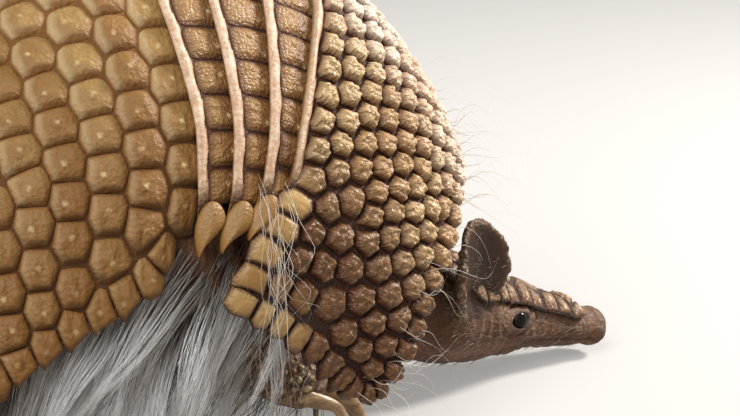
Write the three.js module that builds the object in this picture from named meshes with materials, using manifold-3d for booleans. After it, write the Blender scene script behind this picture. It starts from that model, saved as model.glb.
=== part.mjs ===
// A southern three-banded armadillo as a still, life-size model: it stands with an arched back and
// its head lowered and turned a little to its left, nosing along the floor.
// Millimetres. +X towards the head, +Y to the animal's left, +Z up, floor at z = 0.
import * as THREE from "three";
import { mergeVertices } from "three/addons/utils/BufferGeometryUtils.js";
import Module from "manifold-3d";

const wasm = await Module();
wasm.setup();

// ---- driving dimensions ----
const FAN = { x: 14.3, z: 6 }; // axis across the body, near the floor, that the shell's ribs fan out from
const CROWN = 106; // from that axis to the top of the back
const REACH_FRONT = 76; // from that axis to the front of the shell's dome
const REACH_REAR = 104.5; // and to its rear
const HALF_WIDTH = 60; // at the widest rib
const WIDEST_RIB = -35; // degrees, behind the bands
const NARROWING = 0.0009; // mm of half width lost per square degree away from it
const DOME_POWER = 2.3; // 2 is an ellipse across; more is a fuller shoulder
const TUCK = 0.1; // share of the width that the flanks turn in by at the bottom

const PITCH = 7; // degrees of rib that one band shows
const OVERLAP = 3.5; // degrees of a plate that slide under the one in front
const STEP_DOWN = 1.9; // mm that a plate sinks over one pitch
const BAND_THICK = 1.3;
const SHIELD_THICK = 2.3;
const LIP_RISE = 0.8; // the smooth cord along a plate's rear edge
const LIP_WIDTH = 1.7; // degrees
const GAP = 0.3;

const COLOUR = { shell: 0x9a7648, skin: 0x6b4a38, hair: 0xd8d0c2, claw: 0xb59a6e, eye: 0x120c0a };

// ---- small helpers ----
const deg = THREE.MathUtils.degToRad;
const clamp = THREE.MathUtils.clamp;
const lerp = THREE.MathUtils.lerp;
const smooth = THREE.MathUtils.smoothstep; // (x, low, high)
const V = (x, y, z) => new THREE.Vector3(x, y, z);

// A function through [position, value] stops.
const stops = (list) => (x) => {
  const i = clamp(list.findIndex((s) => s[0] > x) - 1, 0, list.length - 2);
  const [a, b] = x >= list.at(-1)[0] ? list.slice(-2) : list.slice(i, i + 2);
  return lerp(a[1], b[1], clamp((x - a[0]) / (b[0] - a[0]), 0, 1));
};

// A smooth function through evenly spaced values.
const mix = (...values) => (t) => {
  const at = clamp(t, 0, 1) * (values.length - 1);
  const i = Math.min(Math.floor(at), values.length - 2);
  return lerp(values[i], values[i + 1], smooth(at - i, 0, 1));
};

// Moves every vertex of a closed three.js geometry and welds it.
function reshape(geometry, place) {
  const g = geometry.clone();
  g.deleteAttribute("normal");
  g.deleteAttribute("uv");
  const at = g.getAttribute("position");
  for (let i = 0; i < at.count; i++) {
    const p = place(V().fromBufferAttribute(at, i));
    at.setXYZ(i, p.x, p.y, p.z);
  }
  return mergeVertices(g, 1e-4);
}
const weld = (geometry) => reshape(geometry, (p) => p);

function solid(geometry) {
  return new wasm.Manifold(
    new wasm.Mesh({
      numProp: 3,
      vertProperties: geometry.getAttribute("position").array,
      triVerts: new Uint32Array(geometry.index.array),
    }),
  );
}

// The largest body of a solid as a geometry, which drops slivers that a cut leaves behind.
function geometryOf(made) {
  const largest = made.decompose().reduce((a, b) => (a.volume() > b.volume() ? a : b));
  const m = largest.simplify(0.02).getMesh();
  const g = new THREE.BufferGeometry();
  g.setAttribute("position", new THREE.BufferAttribute(new Float32Array(m.vertProperties), 3));
  g.setIndex(new THREE.BufferAttribute(new Uint32Array(m.triVerts), 1));
  return g;
}

const cut = (geometry, ...cutters) =>
  geometryOf(cutters.reduce((left, c) => left.subtract(solid(c)), solid(geometry)));
const join = (...geometries) => geometryOf(geometries.map(solid).reduce((a, b) => a.add(b)));

const finish = (colour, roughness = 0.6) =>
  new THREE.MeshStandardMaterial({ color: colour, roughness, metalness: 0, flatShading: true });

function add(group, name, geometry, material) {
  const mesh = new THREE.Mesh(geometry, material);
  mesh.name = name;
  group.add(mesh);
}

// ---- the shell's dome ----
// rib: degrees forward of upright, about the fan axis. round: degrees from the back's midline down the flank.
function domePoint(rib, round) {
  const t = deg(rib);
  const f = deg(round);
  const reach = t > 0 ? REACH_FRONT : REACH_REAR;
  const full = 1 / Math.hypot(Math.sin(t) / reach, Math.cos(t) / CROWN);
  const width = HALF_WIDTH - NARROWING * (rib - WIDEST_RIB) ** 2;
  const r = full * Math.abs(Math.cos(f)) ** (2 / DOME_POWER);
  const side = width * Math.abs(Math.sin(f)) ** (2 / DOME_POWER) * Math.sign(f);
  const tuck = 1 - TUCK * smooth(Math.abs(round), 50, 90);
  return V(FAN.x + r * Math.sin(t), side * tuck, FAN.z + r * Math.cos(t));
}

function dome(rib, round, lift) {
  const e = 0.4;
  const along = domePoint(rib + e, round).sub(domePoint(rib - e, round));
  const across = domePoint(rib, round + e).sub(domePoint(rib, round - e));
  return domePoint(rib, round).addScaledVector(along.cross(across).normalize(), lift);
}

// A curved plate of the shell. u runs from its rear edge to its front, v from its right hem to its left.
// rear(v), front(v): edges in rib degrees. hem(u): how far down the flank. top, under: lifts off the dome.
function plate({ rear, front, hem, top, under, columns, rows, spacing = (u) => u }) {
  const box = new THREE.BoxGeometry(1, 1, 1, columns, rows, 1);
  return reshape(box, (p) => {
    const u = spacing(p.x + 0.5);
    const v = Math.abs(2 * p.y);
    const behind = rear(v);
    const rib = lerp(behind, front(v), u);
    return dome(rib, 2 * p.y * hem(u), (p.z > 0 ? top : under)(rib - behind, u, v));
  });
}

const lip = (past) => LIP_RISE * (1 - smooth(past, LIP_WIDTH, LIP_WIDTH * 1.5));
const sink = (past) => -STEP_DOWN * (past / PITCH);

// Rear edges of the front shield and the three bands, in rib degrees against the share of the way down.
const LIPS = [
  stops([[0, 17.5], [0.34, 17.2], [0.5, 16], [0.78, 14], [0.86, 10.5], [0.93, 6], [1, -2.5]]),
  stops([[0, 9.5], [0.8, 9.8], [0.93, 8.8], [1, 5.5]]),
  stops([[0, 1.6], [0.5, 2.2], [0.78, 3.4], [0.94, 2.2], [1, -1.6]]),
  stops([[0, -5], [0.5, -4.2], [0.78, -3.1], [0.95, -5.2], [1, -7.6]]),
];

// Front (scapular) shield: it arches over the neck and comes down in a lobe on each side.
const FLARE = 1.5; // mm that the lobe's rear corner stands off the flank, over the bands' points
const scapular = {
  rear: LIPS[0],
  front: stops([[0, 50], [0.43, 53], [0.63, 57.5], [0.76, 61], [0.84, 67.5], [0.92, 74], [1, 79]]),
  hem: stops([[0, 72.8], [0.05, 74.8], [0.18, 76.2], [0.42, 76.2], [0.67, 74.2], [0.87, 71.5], [1, 66.2]]),
  flare: (u, v) => FLARE * smooth(v, 0.7, 0.88) * (1 - smooth(u, 0, 0.35)),
  top: (past, u, v) => lip(past) + scapular.flare(u, v),
  under: (past, u, v) => scapular.flare(u, v) - lerp(BAND_THICK, SHIELD_THICK, smooth(past, 3, 10)),
  columns: 9,
  rows: 22,
  spacing: (u) => 0.35 * u + 0.65 * u * u,
};

// The three movable bands, front to back. Each slides under the lip of the plate in front of it.
const TIP = [65.5, 67, 67]; // degrees down the flank that the bands' points reach
const band = (i) => ({
  rear: LIPS[i + 1],
  front: (v) => lerp(LIPS[i](v * (i ? 1 : 0.9)) + OVERLAP, LIPS[i + 1](v) + 1.2, smooth(v, 0.85, 1) ** 1.2),
  hem: () => TIP[i],
  top: (past) => sink(past) + lip(past),
  under: (past) => sink(past) - BAND_THICK,
  columns: 4,
  rows: 22,
  spacing: (u) => 0.45 * u + 0.55 * u * u,
});

// Rear (pelvic) shield: the largest plate, rounded over the rump with a notch for the tail.
const pelvic = {
  rear: stops([[0, -67], [0.15, -68.5], [0.5, -76], [0.8, -80], [1, -80]]),
  front: (v) => lerp(LIPS[3](v) + OVERLAP, LIPS[3](1) - 2, smooth(v, 0.86, 1)),
  hem: stops([[0, 57], [0.2, 65], [0.35, 67.8], [0.47, 69.2], [0.68, 70.8], [0.87, 70.2], [0.935, 68], [1, 67]]),
  top: (past, u, v) => sink(Math.max(0, PITCH + OVERLAP - (1 - u) * (pelvic.front(v) - pelvic.rear(v)))),
  under: (past, u, v) => pelvic.top(past, u, v) - lerp(SHIELD_THICK, BAND_THICK, smooth(u, 0.75, 0.9)),
  columns: 11,
  rows: 22,
  spacing: (u) => 1 - (1 - u) * (0.45 + 0.55 * (1 - u)),
};

// ---- soft forms: a capsule bent along a curve ----
// radius(t), wide(t), deep(t): section sizes along the curve. grow swells the form, to cut clearance with it.
function limb(points, radius, options = {}) {
  const { wide = () => 1, deep = () => 1, cap = 1, grow = 0, round = 10, steps = 7, capSteps = 3 } = options;
  const curve = new THREE.CatmullRomCurve3(points);
  const length = 4;
  const capsule = new THREE.CapsuleGeometry(1, length, capSteps, round, steps);
  return reshape(capsule, (p) => {
    const t = clamp(p.y / length + 0.5, 0, 1);
    const beyond = p.y - (t - 0.5) * length;
    const along = curve.getTangent(t);
    const side = V(0, 1, 0).addScaledVector(along, -along.y).normalize();
    const up = side.clone().cross(along);
    const r = radius(t);
    return curve
      .getPoint(t)
      .addScaledVector(along, beyond * (r * cap + grow))
      .addScaledVector(side, p.x * (r * wide(t) + grow))
      .addScaledVector(up, p.z * (r * deep(t) + grow));
  });
}

// ---- trunk: fills the shell, and below it the belly's long coat ----
const BELLY = { rear: -78, front: 56, low: 6, high: 30, square: 0.78 };
function trunkForm(grow = 0) {
  const ball = new THREE.SphereGeometry(1, 22, 16).rotateZ(Math.PI / 2);
  return reshape(ball, (p) => {
    const x = lerp(BELLY.rear, BELLY.front, (p.x + 1) / 2);
    const ring = Math.max(Math.hypot(p.y, p.z), 1e-6);
    const swell = ring ** 0.72;
    const lowest = BELLY.high - (BELLY.high - BELLY.low) * Math.exp(-(((x + 4) / 30) ** 2));
    const centre = 50 - 6 * smooth(x, 20, BELLY.front);
    const deep = p.z > 0 ? 60 : centre - lowest;
    const fat = (a) => Math.sign(a) * Math.abs(a) ** BELLY.square;
    return V(x + grow * p.x, fat(p.y / ring) * (swell * 50 + grow), centre + fat(p.z / ring) * (swell * deep + grow));
  });
}

// The room for flesh under the plates, down past the floor.
function cavity(grow) {
  const box = new THREE.BoxGeometry(1, 1, 1, 16, 18, 1);
  return reshape(box, (p) => {
    const rib = lerp(-94, 94, p.x + 0.5);
    const banded = smooth(rib, -20, -9) * (1 - smooth(rib, 18, 28));
    const at = dome(rib, 2 * p.y * 84, grow - GAP - lerp(SHIELD_THICK + 0.2, SHIELD_THICK + STEP_DOWN, banded));
    return p.z > 0 ? at : V(FAN.x + (at.x - FAN.x) * 0.9, at.y * 0.3, Math.min(at.z, -5) - 10);
  });
}

// ---- head, in its own frame: +X towards the nose, the origin at the back of the skull ----
const HEAD = { length: 56, x: 71, y: 0, z: 19, pitch: 13, yaw: 10 };
const headWide = mix(13.6, 15.8, 13.6, 9.6, 6.9, 5.9, 5.1);
const headHigh = mix(12, 13.6, 12, 9.2, 6.8, 5.6, 4.6);
const headDeep = mix(10.5, 11.4, 10.6, 8.6, 6.4, 5.2, 4.4);

// along: 0 at the back of the skull to 1 at the nose. round: degrees from the top, to the left.
function headSurface(along, round, lift = 0) {
  const f = deg(round);
  const up = Math.cos(f);
  const high = up > 0 ? headHigh(along) : headDeep(along);
  return V(along * HEAD.length, Math.sin(f) * (headWide(along) + lift), up * (high + lift));
}

function headForm(grow = 0) {
  const capsule = new THREE.CapsuleGeometry(1, 6, 3, 14, 12);
  return reshape(capsule, (p) => {
    const along = clamp(p.y / 6 + 0.5, 0, 1);
    const beyond = p.y - (along - 0.5) * 6;
    const nose = p.y > 0 ? 3.4 : 6;
    const f = THREE.MathUtils.radToDeg(Math.atan2(-p.x, p.z));
    const ring = Math.hypot(p.x, p.z);
    const at = headSurface(along, f, grow);
    return V(at.x + beyond * (nose + grow), at.y * ring, at.z * ring);
  });
}

// Plate of large scutes on top of the head, from between the ears to behind the nose.
function headShield(grow = 0) {
  const box = new THREE.BoxGeometry(1, 1, 1, 10, 6, 1);
  const spread = mix(50, 64, 60, 58, 62, 66);
  return reshape(box, (p) => {
    const along = lerp(0.02 + 0.4 * p.y * p.y - 0.01 * grow, 0.86, p.x + 0.5);
    return headSurface(along, 2 * p.y * (spread(p.x + 0.5) + 5 * grow), p.z > 0 ? 1.9 + grow : 0.5 - grow);
  });
}

// Ear: a thick oval cup on a narrow base, opening outward and forward.
const EAR = { high: 27, wide: 9, base: 0.55, thick: 2, cup: 5.5, out: 72, root: [14, 12.6, -1.5] };
function earForm(side) {
  const ball = new THREE.SphereGeometry(1, 14, 10).rotateX(Math.PI / 2).rotateZ(Math.PI / 2);
  const made = reshape(ball, (p) => {
    const h = (p.z + 1) / 2;
    const wide = EAR.wide * (EAR.base + (1 - EAR.base) * smooth(h, 0, 0.55));
    const thick = Math.sign(p.x) * Math.abs(p.x) ** 0.45 * (EAR.thick / 2);
    return V(thick + EAR.cup * (p.y * p.y - 0.6) * (0.4 + 0.6 * h), p.y * wide, h * EAR.high);
  });
  made.rotateZ(deg(EAR.out * side)).rotateX(deg(-9 * side)).rotateY(deg(-HEAD.pitch));
  const [x, y, z] = EAR.root;
  return made.translate(x, y * side, z);
}

const EYE = { along: 0.5, round: 78, radius: 2.7, sunk: 0.9 };
const eyeForm = (side, grow = 0) =>
  weld(new THREE.SphereGeometry(EYE.radius + grow, 10, 6)).translate(
    ...headSurface(EYE.along, EYE.round * side, -EYE.sunk).toArray(),
  );

// ---- legs and claws ----
const UNDERFLOOR = weld(new THREE.BoxGeometry(400, 200, 40).translate(0, 0, -20));
const FORE = { x: 40, y: 22.5 }; // where a forefoot stands, on the tips of its claws
const HIND = { x: -46, y: 30 }; // where a hind foot stands, on its sole

function forelegForm(side, grow = 0) {
  const y = FORE.y * side;
  const path = [V(FORE.x - 14, y * 1.08, 44), V(FORE.x - 20, y * 1.2, 29), V(FORE.x - 9, y, 18), V(FORE.x, y, 12.5)];
  return limb(path, mix(12.5, 10, 7, 6), { wide: mix(1, 1, 1.05, 1.2), grow });
}

function hindlegForm(side, grow = 0) {
  const { x, y } = HIND;
  const thigh = [V(x + 6, y * 0.86 * side, 40), V(x + 14, y * 1.02 * side, 27), V(x - 4, y * side, 13), V(x - 6, y * side, 8)];
  const foot = [V(x - 9, y * side, 5.4), V(x + 3, y * side, 4.8), V(x + 15, y * 1.02 * side, 3.8)];
  return join(
    limb(thigh, mix(15.5, 11.5, 7.5, 6.8), { grow }),
    limb(foot, mix(6.3, 6.4, 5.2), { wide: mix(1, 1.25, 1.5), deep: mix(1, 0.95, 0.8), grow, steps: 5 }),
  );
}

// A claw from its root to its tip, bent by sag, deeper than wide.
function clawForm(root, tip, radius, sag) {
  const middle = root.clone().add(tip).multiplyScalar(0.5);
  middle.x += sag;
  middle.z += Math.abs(sag) * 0.6;
  const narrow = (t) => radius * (1 - 0.68 * t);
  return limb([root, middle, tip], narrow, { wide: () => 0.72, round: 6, steps: 3, capSteps: 1 });
}

// Fore claws, inner to outer: sideways place, reach ahead of the foot, radius, height of the root.
const FORE_CLAWS = [
  { y: -6.2, reach: 6, radius: 1.6, top: 10 },
  { y: -2.5, reach: 14, radius: 2.5, top: 12.5 },
  { y: 2.5, reach: 14.5, radius: 2.9, top: 12.5 },
  { y: 6.6, reach: 8, radius: 1.9, top: 10.5 },
];
// Hind nails, inner to outer: short and hoof-like, the middle three broadest.
const HIND_CLAWS = [
  { y: -7.6, reach: 20, radius: 1.6 },
  { y: -4.2, reach: 25.5, radius: 2.2 },
  { y: 0, reach: 27, radius: 2.4 },
  { y: 4.2, reach: 25.5, radius: 2.2 },
  { y: 7.8, reach: 20, radius: 1.6 },
];

// ---- the animal ----
const armadillo = new THREE.Group();
const shellFinish = finish(COLOUR.shell);
const skinFinish = finish(COLOUR.skin, 0.8);
const clawFinish = finish(COLOUR.claw, 0.45);
const eyeFinish = finish(COLOUR.eye, 0.15);

add(armadillo, "scapular_shield", plate(scapular), shellFinish);
[0, 1, 2].forEach((i) => add(armadillo, `band_${i + 1}`, plate(band(i)), shellFinish));
add(armadillo, "pelvic_shield", plate(pelvic), shellFinish);

const head = new THREE.Group();
head.position.set(HEAD.x, HEAD.y, HEAD.z);
head.rotation.set(0, deg(HEAD.pitch), deg(HEAD.yaw), "ZYX");
head.updateMatrix();
armadillo.add(head);
const placed = (geometry) => geometry.clone().applyMatrix4(head.matrix);

const trunk = (grow) => geometryOf(solid(trunkForm(grow)).intersect(solid(cavity(grow))));
const trunkCutter = trunk(GAP);
add(armadillo, "trunk", trunk(0), finish(COLOUR.hair, 0.9));

const neckPath = [V(48, 0, 36), V(59, 0, 28), V(69, 0.5, 21)];
const neckForm = limb(neckPath, mix(21, 17, 14.2), { wide: mix(1.1, 1, 1), cap: 0.5, round: 12 });
add(armadillo, "neck", cut(neckForm, trunkCutter, placed(headForm(GAP)), placed(headShield(GAP))), skinFinish);

add(head, "head", cut(headForm(), eyeForm(1, GAP), eyeForm(-1, GAP)), skinFinish);
add(head, "head_shield", headShield(), shellFinish);

const tailPath = [V(-66, 0, 33), V(-88, 0, 29), V(-105, 0, 20.5), V(-117, 0, 12.5)];
const tailForm = limb(tailPath, mix(12.5, 11.5, 8.5, 4.5), { wide: () => 1.12, round: 12, steps: 8 });
add(armadillo, "tail", cut(tailForm, trunkCutter), shellFinish);

["left", "right"].forEach((name, i) => {
  const side = i === 0 ? 1 : -1;
  add(head, `eye_${name}`, eyeForm(side), eyeFinish);
  add(head, `ear_${name}`, cut(earForm(side), headForm(GAP), headShield(GAP)), skinFinish);

  add(armadillo, `foreleg_${name}`, cut(forelegForm(side), trunkCutter, UNDERFLOOR), skinFinish);
  const foreCutter = forelegForm(side, GAP);
  FORE_CLAWS.forEach((c, k) => {
    const y = (FORE.y + c.y) * side;
    const claw = clawForm(V(FORE.x, y, c.top), V(FORE.x + c.reach, y, 0.4), c.radius, 2.6);
    add(armadillo, `fore_claw_${name}_${k + 1}`, cut(claw, foreCutter, UNDERFLOOR), clawFinish);
  });

  add(armadillo, `hindleg_${name}`, cut(hindlegForm(side), trunkCutter, UNDERFLOOR), skinFinish);
  const hindCutter = hindlegForm(side, GAP);
  HIND_CLAWS.forEach((c, k) => {
    const y = (HIND.y + c.y) * side;
    const claw = clawForm(V(HIND.x + c.reach - 11, y, 4.2), V(HIND.x + c.reach, y, 0.8), c.radius, 0.6);
    add(armadillo, `hind_claw_${name}_${k + 1}`, cut(claw, hindCutter, UNDERFLOOR), clawFinish);
  });
});

// Stand it with its bounding box centred on the origin.
armadillo.updateMatrixWorld(true);
const extent = new THREE.Box3().setFromObject(armadillo, true);
armadillo.position.x = -(extent.min.x + extent.max.x) / 2;

export default armadillo;
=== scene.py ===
"""A southern three-banded armadillo: its scutes, skin, claws, eyes and coat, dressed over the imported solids.
Shapes are worked out in millimetres in the row frame and put down in metres."""

import math

import bmesh
import bpy
import numpy as np
from mathutils import Matrix, Vector
from mathutils.kdtree import KDTree


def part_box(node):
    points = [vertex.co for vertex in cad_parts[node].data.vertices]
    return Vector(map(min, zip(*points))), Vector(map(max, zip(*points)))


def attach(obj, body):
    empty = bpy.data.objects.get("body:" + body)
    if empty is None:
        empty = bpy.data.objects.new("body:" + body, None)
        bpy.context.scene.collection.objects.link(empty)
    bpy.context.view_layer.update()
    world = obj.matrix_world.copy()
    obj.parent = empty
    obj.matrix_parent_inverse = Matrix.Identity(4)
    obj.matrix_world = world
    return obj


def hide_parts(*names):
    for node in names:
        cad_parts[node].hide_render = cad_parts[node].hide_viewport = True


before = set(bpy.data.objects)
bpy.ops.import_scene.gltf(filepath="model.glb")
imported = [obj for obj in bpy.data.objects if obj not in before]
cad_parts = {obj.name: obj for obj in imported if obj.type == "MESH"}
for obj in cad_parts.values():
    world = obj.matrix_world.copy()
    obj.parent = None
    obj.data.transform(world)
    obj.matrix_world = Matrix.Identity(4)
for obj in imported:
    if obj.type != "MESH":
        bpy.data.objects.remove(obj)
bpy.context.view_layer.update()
MM = 0.001

# ---- the shell's dome, from the same named sizes as the solids ----
FAN_X, FAN_Z = 14.3, 6.0
CROWN, REACH_FRONT, REACH_REAR = 106.0, 76.0, 104.5
HALF_WIDTH, WIDEST_RIB, NARROWING = 60.0, -35.0, 0.0009
DOME_POWER, TUCK = 2.3, 0.1
PITCH, OVERLAP, STEP_DOWN = 7.0, 3.5, 1.9  # degrees, degrees, mm
BAND_THICK, SHIELD_THICK = 1.3, 2.3
HEAD_AT, HEAD_PITCH, HEAD_YAW, HEAD_LENGTH = (71.0, 0.0, 19.0), 13.0, 10.0, 56.0
EYE_ALONG, EYE_ROUND, EYE_RADIUS, EYE_SUNK = 0.5, 78.0, 2.7, 0.9
FLOOR_GAP = 0.05  # mm


def smooth(x, low, high):
    """0 below low and 1 above high, with soft ends. It falls if high is the smaller."""
    t = np.clip((np.asarray(x, float) - low) / (high - low), 0, 1)
    return t * t * (3 - 2 * t)


def lerp(a, b, t):
    """From a to b as t goes from 0 to 1."""
    return a + (b - a) * t


def stops(*pairs):
    """A broken line through (place, value) pairs."""
    at, value = zip(*pairs)
    return lambda x: np.interp(x, at, value)


def flowing(*pairs):
    """Like stops, with its corners rounded off over a tenth of the way."""
    at, half = np.linspace(-0.1, 1.1, 241), 12
    bell = np.hanning(2 * half + 3)[1:-1]
    value = np.pad(np.interp(np.abs(at), *zip(*pairs)), half, mode="edge")
    value = np.convolve(value, bell / bell.sum(), mode="valid")
    return lambda x: np.interp(x, at, value)


def mixed(*values):
    """A smooth run through values spread evenly from 0 to 1."""

    def read(t):
        at = np.clip(np.asarray(t, float), 0, 1) * (len(values) - 1)
        i = np.minimum(at.astype(int), len(values) - 2)
        known = np.array(values)
        return lerp(known[i], known[i + 1], smooth(at - i, 0, 1))

    return read


def unit(v):
    return v / np.maximum(np.linalg.norm(v, axis=-1, keepdims=True), 1e-9)


def run_along(points):
    """How far along a polyline each of its points is."""
    return np.concatenate([[0], np.cumsum(np.linalg.norm(np.diff(points, axis=0), axis=1))])


def fan_reach(rib):
    """From the fan's axis to the back's midline, at a rib's degrees from upright."""
    t = np.radians(rib)
    reach = np.where(t > 0, REACH_FRONT, REACH_REAR)
    return 1 / np.hypot(np.sin(t) / reach, np.cos(t) / CROWN)


def half_width(rib):
    """Of the dome at a rib, before its hem is tucked in."""
    return HALF_WIDTH - NARROWING * (rib - WIDEST_RIB) ** 2


def dome_point(rib, around):
    """A point of the dome, by degrees along the back and degrees round from the midline."""
    t, f = np.radians(rib), np.radians(around)
    r = fan_reach(rib) * np.abs(np.cos(f)) ** (2 / DOME_POWER)
    side = half_width(rib) * np.abs(np.sin(f)) ** (2 / DOME_POWER) * np.sign(f)
    tuck = 1 - TUCK * smooth(np.abs(around), 50, 90)
    return np.stack([FAN_X + r * np.sin(t), side * tuck, FAN_Z + r * np.cos(t)], -1)


def dome(rib, around, lift):
    """The same, lifted off the dome by lift mm."""
    e = 0.4
    along = dome_point(rib + e, around) - dome_point(rib - e, around)
    across = dome_point(rib, around + e) - dome_point(rib, around - e)
    return dome_point(rib, around) + unit(np.cross(along, across)) * np.asarray(lift)[..., None]


# ---- the head's surface, in the head's own frame ----
head_wide = mixed(13.6, 15.8, 13.6, 9.6, 6.9, 5.9, 5.1)
head_high = mixed(12, 13.6, 12, 9.2, 6.8, 5.6, 4.6)
head_deep = mixed(10.5, 11.4, 10.6, 8.6, 6.4, 5.2, 4.4)


def head_surface(along, around, lift=0.0):
    """By share of its length and degrees round from the top."""
    f = np.radians(around)
    up = np.cos(f)
    high = np.where(up > 0, head_high(along), head_deep(along))
    return np.stack([along * HEAD_LENGTH + 0 * f, np.sin(f) * (head_wide(along) + lift), up * (high + lift)], -1)


def turn(axis, degrees):
    """A turn about an axis, as a 3 by 3 matrix."""
    return np.array(Matrix.Rotation(math.radians(degrees), 3, axis))


HEAD_TURN = turn("Z", HEAD_YAW) @ turn("Y", HEAD_PITCH)


def from_head(points):
    """Places in the row frame from places in the head's own."""
    return points @ HEAD_TURN.T + np.array(HEAD_AT)


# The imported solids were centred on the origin, so everything here moves by the same amount.
eye_low, eye_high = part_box("eye_left")
eye_place = from_head(head_surface(np.array(EYE_ALONG), np.array(EYE_ROUND), -EYE_SUNK))
SHIFT = (eye_low.x + eye_high.x) / 2 / MM - float(eye_place[0])
FAN_X += SHIFT
HEAD_AT = (HEAD_AT[0] + SHIFT, HEAD_AT[1], HEAD_AT[2])

# ---- camera ----
AZIMUTH, ELEVATION, DISTANCE = -21.0, 14.0, 450.0
LOOK_AT = (FAN_X, -57.0, 59.0)  # the bands' points on the right flank
LEFT_OF_CENTRE, BELOW_CENTRE = 26.9, 1.9  # mm, where that spot sits in the view
a, e = math.radians(AZIMUTH), math.radians(ELEVATION)
back = Vector((math.sin(a) * math.cos(e), -math.cos(a) * math.cos(e), math.sin(e)))
right = Vector((0, 0, 1)).cross(back).normalized()
up = back.cross(right)


def placed(name, data):
    """A new object in the scene, standing at the origin."""
    made = bpy.data.objects.new(name, data)
    bpy.context.scene.collection.objects.link(made)
    return made


camera = placed("camera", bpy.data.cameras.new("camera"))
camera.matrix_world = Matrix((right, up, back)).transposed().to_4x4()
camera.location = (Vector(LOOK_AT) + right * LEFT_OF_CENTRE + up * BELOW_CENTRE + back * DISTANCE) * MM
camera.data.lens = 113.8
camera.data.clip_start = 0.02
bpy.context.scene.camera = camera


# ---- materials ----
class Wire:
    """A shader socket. Arithmetic on it adds Math nodes."""

    def __init__(self, finish, socket):
        self.finish, self.socket = finish, socket

    def maths(self, operation, *others, clamp=False):
        n = self.finish.tree.nodes.new("ShaderNodeMath")
        n.operation, n.use_clamp = operation, clamp
        for i, value in enumerate((self, *others)):
            self.finish.feed(n.inputs[i], value)
        return Wire(self.finish, n.outputs[0])

    def __add__(self, other):
        return self.maths("ADD", other)

    def __mul__(self, other):
        return self.maths("MULTIPLY", other)

    def __sub__(self, other):
        return self.maths("SUBTRACT", other)

    def __rsub__(self, other):
        return (self * -1) + other

    __radd__, __rmul__ = __add__, __mul__

    def clipped(self):
        return self.maths("ADD", 0.0, clamp=True)

    def most(self, other):
        return self.maths("MAXIMUM", other)


class Finish:
    """A material under construction."""

    def __init__(self, name):
        self.material = bpy.data.materials.new(name)
        self.material.use_nodes = True
        self.tree = self.material.node_tree
        self.tree.nodes.clear()
        self.place = self.node("ShaderNodeTexCoord").socket.node.outputs["Object"]

    def feed(self, socket, value):
        if isinstance(value, Wire):
            self.tree.links.new(value.socket, socket)
        elif isinstance(value, bpy.types.NodeSocket):
            self.tree.links.new(value, socket)
        elif socket.type == "RGBA" and len(value) == 3:
            socket.default_value = (*value, 1.0)
        else:
            socket.default_value = value

    def node(self, kind, settings=None, inputs=None, output=0):
        n = self.tree.nodes.new(kind)
        for key, value in (settings or {}).items():
            setattr(n, key, value)
        for key, value in (inputs or {}).items():
            self.feed(n.inputs[key], value)
        return Wire(self, n.outputs[output]) if n.outputs else None

    def value(self, name):
        return self.node("ShaderNodeAttribute", {"attribute_name": name}, output="Fac")

    def noise(self, per_mm, detail=3.0, rough=0.55, stretch=None):
        where = self.place
        if stretch:
            where = self.node("ShaderNodeMapping", None, {"Vector": where, "Scale": stretch})
        inputs = {"Vector": where, "Scale": per_mm / MM, "Detail": detail, "Roughness": rough}
        return self.node("ShaderNodeTexNoise", None, inputs)

    def grains(self, per_mm, feature="F1", rough=0.0):
        inputs = {"Vector": self.place, "Scale": per_mm / MM, "Roughness": rough}
        return self.node("ShaderNodeTexVoronoi", {"feature": feature}, inputs, "Distance")

    def pebbled(self, mm):
        """Round grains laid over the surface by its own flat coordinates in mm: 1 on top of a grain."""
        flat = self.node("ShaderNodeCombineXYZ", None, {"X": self.value("flat_x"), "Y": self.value("flat_y")})
        inputs = {"Vector": flat, "Scale": 1 / mm, "Smoothness": 0.25, "Randomness": 0.8}
        cells = self.node("ShaderNodeTexVoronoi", {"voronoi_dimensions": "2D", "feature": "SMOOTH_F1"}, inputs)
        return 1 - self.ramp(cells, 0.05, 0.62)

    def ramp(self, factor, low, high):
        inputs = {"Value": factor, "From Min": low, "From Max": high}
        return self.node("ShaderNodeMapRange", {"interpolation_type": "SMOOTHSTEP"}, inputs)

    def mix(self, factor, first, second):
        """A mix of two colours, whose sockets come after those for numbers and vectors."""
        return self.node("ShaderNodeMix", {"data_type": "RGBA"}, {0: factor, 6: first, 7: second}, 2)

    def layered(self, colour, *layers):
        """Colours laid over a first one, each as much as its share says."""
        for share, other in layers:
            colour = self.mix(share, colour, other)
        return colour

    def bump(self, height, mm, strength):
        return self.node("ShaderNodeBump", None, {"Height": height, "Distance": mm * MM, "Strength": strength})

    def done(self, **inputs):
        shader = self.node("ShaderNodeBsdfPrincipled", None, {k.replace("_", " "): v for k, v in inputs.items()})
        self.node("ShaderNodeOutputMaterial", None, {"Surface": shader})
        return self.material


def shade(r, g, b):
    """A colour as it looks on screen, turned to the linear values a shader takes."""
    return tuple(x / 12.92 if x <= 0.04045 else ((x + 0.055) / 1.055) ** 2.4 for x in (r, g, b))


def scaled(colour, *by):
    """A colour with its red, green and blue made larger or smaller, each by its own factor or all by one."""
    return tuple(min(1, c * k) for c, k in zip(colour, by * (3 // len(by))))


EARTH = (0.74, 0.62, 0.48)  # how much darker the tops' earthy patches are, in red, green and blue


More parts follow.
